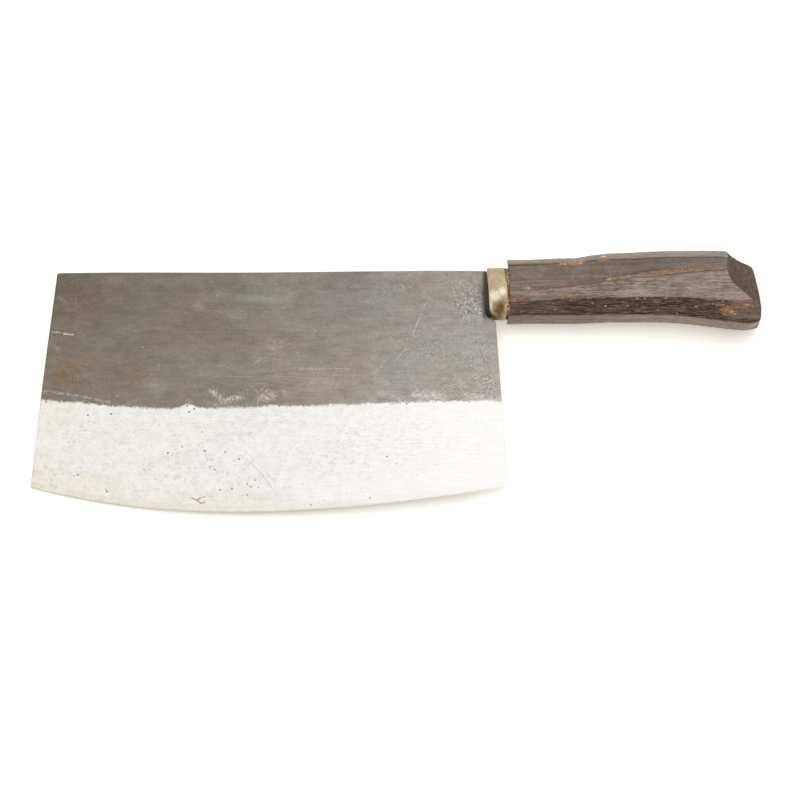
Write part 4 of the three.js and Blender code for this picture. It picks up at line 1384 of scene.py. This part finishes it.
def makeHandleWood():
    material, tree, shader = newMaterial("whittled handle wood")
    shader.inputs["Specular IOR Level"].default_value = 0.25
    place = knifePlace(tree)
    tone = attribute(tree, "tone")
    dark, torn = attribute(tree, "darkWood"), attribute(tree, "tornWood")
    red, fibrous = attribute(tree, "redWood"), attribute(tree, "fibrousWood")
    endGrain, strip = attribute(tree, "endGrain"), attribute(tree, "stripWood")
    smooth = attribute(tree, "smoothWood")

    grain = streaksAt(tree, place, 24.0, 1.3, 1.0)
    wood = tint(tree, remap(tree, grain, 0.15, 0.85), woodLook["deep"], woodLook["pale"])
    hairs = streaksAt(tree, place, 14.0, 0.5, 9.0)
    wood = shade(tree, wood, hairs, 0.78, 1.22)
    lilac = patchesAt(tree, place, 8.0, 0.5, 0.68, 27.0)
    wood = tint(tree, times(tree, lilac, 0.6), wood, woodLook["lilac"])
    wide = patchesAt(tree, place, 9.0, 0.3, 0.7, 6.0)
    wood = shade(tree, wood, wide, 0.80, 1.18)
    wood = tint(tree, smooth, wood, woodLook["even"])
    sheen = useGroup(
        tree, blot, Vector=place, Centre=(17.5, -2.3, 12.0), Reach=(6.0, 2.0, 6.0), Ragged=0.5, Grain=2.0)
    wood = tint(tree, times(tree, sheen, 0.8), wood, woodLook["sheen"])
    wood = tint(tree, times(tree, strip, 0.8), wood, shade(tree, woodLook["olive"], hairs, 0.7, 1.3))
    mottle = patchesAt(tree, place, 1.3, 0.3, 0.7, 33.0)
    wood = shade(tree, wood, mottle, 0.88, 1.12)
    # thin dark checks along the grain, short pores and pale fibre ends where the wood was left rough
    checks = remap(tree, streaksAt(tree, place, 11.0, 0.55, 43.0), 0.66, 0.84)
    wood = tint(
        tree, times(tree, checks, plus(tree, times(tree, fibrous, 0.45), 0.15)), wood, woodLook["pore"])
    pores = remap(tree, streaksAt(tree, place, 3.4, 0.45, 14.0), 0.57, 0.77)
    pores = times(tree, pores, fibrous)
    wood = tint(tree, times(tree, pores, 0.7), wood, woodLook["pore"])
    fibres = remap(tree, streaksAt(tree, place, 3.2, 0.5, 29.0), 0.58, 0.78)
    fibres = times(tree, fibres, fibrous)
    wood = tint(tree, times(tree, fibres, 0.65), wood, woodLook["fleck"])
    # the tone attribute holds painted light and shade of the facets as well as the wood's own tone
    wood = scaleColour(tree, wood, tone)

    lines = streaksAt(tree, place, 8.0, 0.6, 18.0)
    darkTone = tint(tree, remap(tree, lines, 0.2, 0.85), woodLook["darkLow"], woodLook["darkHigh"])
    paleLines = remap(tree, streaksAt(tree, place, 4.2, 0.42, 55.0), 0.62, 0.78)
    darkTone = tint(tree, times(tree, paleLines, 0.7), darkTone, woodLook["darkPale"])
    specky = specksAt(tree, place, 1.35, 0.5, 0.24, 1.8)
    speckArea = patchesAt(tree, place, 7.0, 0.3, 0.52, 36.0)
    darkTone = tint(tree, times(tree, specky, speckArea, 0.9), darkTone, woodLook["speck"])
    wood = tint(tree, dark, wood, darkTone)

    endLines = hatch(tree, place, 62.0, 5.0, 0.58, 22.0, 0.28, 0.72)
    endTone = tint(tree, endLines, woodLook["endLow"], woodLook["endHigh"])
    endTone = shade(tree, endTone, mottle, 0.8, 1.2)
    wood = tint(tree, endGrain, wood, endTone)
    border = times(tree, endGrain, minus(tree, 1.0, endGrain))
    wood = shade(tree, wood, border, 1.0, 0.2)
    rubbed = times(tree, border, remap(tree, splitPlace(tree, place)[1], 6.0, 12.0, 0.0, 3.0))
    wood = tint(tree, rubbed, wood, woodLook["rubbed"])

    # red-brown heartwood where the whittling laid it bare, tan, orange and cream where it tore
    rusty = shade(tree, woodLook["red"], times(tree, plus(tree, hairs, lines), 0.5), 0.3, 1.7)
    wood = tint(tree, times(tree, red, 0.85), wood, rusty)
    wood = tint(tree, times(tree, torn, 0.85), wood, shade(tree, woodLook["tan"], hairs, 0.6, 1.4))
    bright = patchesAt(tree, place, 1.2, 0.45, 0.6, 52.0)
    raw = most(tree, torn, times(tree, red, 0.14))
    wood = tint(tree, times(tree, raw, bright), wood, woodLook["orange"])
    creamy = patchesAt(tree, place, 1.0, 0.55, 0.66, 58.0)
    wood = tint(
        tree, times(tree, most(tree, torn, times(tree, red, 0.4)), creamy), wood, woodLook["cream"])
    cream = shade(tree, woodLook["cream"], mottle, 0.75, 1.1)
    wood = tint(tree, attribute(tree, "creamWood"), wood, cream)

    tree.links.new(wood, shader.inputs["Base Color"])
    rough = remap(tree, grain, 0.0, 1.0, 0.46, 0.58, "LINEAR")
    rough = blendValue(tree, most(tree, dark, torn), rough, 0.72)
    rough = blendValue(tree, endGrain, rough, 0.85)
    tree.links.new(rough, shader.inputs["Roughness"])
    height = plus(tree, times(tree, hairs, 0.5), times(tree, fibres, 0.5))
    height = minus(tree, height, plus(tree, pores, checks))
    rugged = plus(tree, times(tree, lines, 1.6), paleLines)
    height = plus(tree, height, times(tree, rugged, dark))
    height = plus(tree, height, times(tree, endLines, endGrain))
    addBump(tree, shader, height, 0.5, 0.14)
    return material


placePiece(makeHandlePiece(makeHandleWood()), "handle")


# Table, light and camera

table = {
    "half": 2.0, "colour": (0.93, 0.93, 0.93),
    # the floor glows less in a strip before the cutting edge, painted shade that darkens the blade's
    # shadow there: the strip's ends along x, and along y
    "glowHandle": (0.43, 0.402, 0.355), "glowBlade": (0.265, 0.240, 0.197),
    "stripX": ((-0.200, -0.165), (0.028, 0.048)), "stripY": ((-0.110, -0.080), (-0.050, -0.036)),
}


def backgroundRays(tree):
    path = addNode(tree, "ShaderNodeLightPath")
    seen = most(tree, path.outputs["Is Camera Ray"], path.outputs["Is Glossy Ray"])
    return most(tree, seen, path.outputs["Is Transmission Ray"])


def makeTable():
    bm = bmesh.new()
    bmesh.ops.create_grid(bm, x_segments=8, y_segments=8, size=table["half"])
    material, tree, shader = newMaterial("pale table")
    shader.inputs["Base Color"].default_value = (*table["colour"], 1.0)
    shader.inputs["Roughness"].default_value = 0.9
    shader.inputs["Specular IOR Level"].default_value = 0.1
    x, y, z = splitPlace(tree, addNode(tree, "ShaderNodeTexCoord").outputs["Object"])
    # painted shade: less glow in the strip before the cutting edge, so the blade's shadow shows darker
    inShadeStrip = 1.0
    for value, ((outer, inner), (last, beyond)) in ((x, table["stripX"]), (y, table["stripY"])):
        inShadeStrip = times(
            tree, inShadeStrip,
            times(tree, remap(tree, value, outer, inner), remap(tree, value, beyond, last)))
    glow = tint(tree, inShadeStrip, table["glowHandle"], table["glowBlade"])
    tree.links.new(glow, shader.inputs["Emission Color"])
    tree.links.new(backgroundRays(tree), shader.inputs["Emission Strength"])
    top = finishPiece(bm, "table", material)


light = {
    "world": 0.20, "lampSize": 2.4, "lampWatts": 9.0, "lampAt": (0.15, 0.55, 1.5),
    "lampAim": (0.0, 0.0, 0.0),
    "keyStrength": 1.6, "keySpread": 58.0, "keyFrom": (0.02, 0.03, 1.0),
}


def makeLight():
    world = bpy.data.worlds.new("studio")
    bpy.context.scene.world = world
    world.use_nodes = True
    tree = world.node_tree
    sky = tree.nodes["Background"]
    sky.inputs["Color"].default_value = (1.0, 1.0, 1.0, 1.0)
    tree.links.new(blendValue(tree, backgroundRays(tree), light["world"], 1.0), sky.inputs["Strength"])
    lamp = bpy.data.lights.new("softbox", "AREA")
    lamp.shape = "SQUARE"
    lamp.size = light["lampSize"]
    lamp.energy = light["lampWatts"]
    box = bpy.data.objects.new("softbox", lamp)
    aim = Vector(light["lampAim"]) - Vector(light["lampAt"])
    turn = aim.to_track_quat("-Z", "Y").to_matrix().to_4x4()
    box.matrix_world = Matrix.Translation(light["lampAt"]) @ turn
    bpy.context.scene.collection.objects.link(box)
    # broad light from above for the soft short shadow, kept out of the steel's reflections
    key = bpy.data.lights.new("key", "SUN")
    key.energy = light["keyStrength"]
    key.angle = math.radians(light["keySpread"])
    beam = bpy.data.objects.new("key", key)
    beam.matrix_world = (-Vector(light["keyFrom"])).to_track_quat("-Z", "Y").to_matrix().to_4x4()
    beam.visible_glossy = False
    bpy.context.scene.collection.objects.link(beam)


camera = {
    "azimuth": 3.772, "elevation": 73.6, "roll": -3.086, "distance": 1.2001,
    "pixels": 800, "focalPixels": 2727.27, "sensor": 36.0, "offset": (0.001634, -0.005422),
}


def makeCamera():
    turn, rise, roll = (math.radians(camera[k]) for k in ("azimuth", "elevation", "roll"))
    back = Vector((math.sin(turn) * math.cos(rise), -math.cos(turn) * math.cos(rise), math.sin(rise)))
    level = Vector((math.cos(turn), math.sin(turn), 0.0))
    upright = back.cross(level)
    right = level * math.cos(roll) + upright * math.sin(roll)
    up = upright * math.cos(roll) - level * math.sin(roll)
    at = back * camera["distance"] + right * camera["offset"][0] + up * camera["offset"][1]
    data = bpy.data.cameras.new("photo view")
    data.sensor_fit = "HORIZONTAL"
    data.sensor_width = camera["sensor"]
    data.lens = camera["focalPixels"] * camera["sensor"] / camera["pixels"]
    view = bpy.data.objects.new("photo view", data)
    view.matrix_world = Matrix.Translation(at) @ Matrix((right, up, back)).transposed().to_4x4()
    bpy.context.scene.collection.objects.link(view)
    bpy.context.scene.camera = view


makeTable()
makeLight()
makeCamera()
print("table, light and camera set")
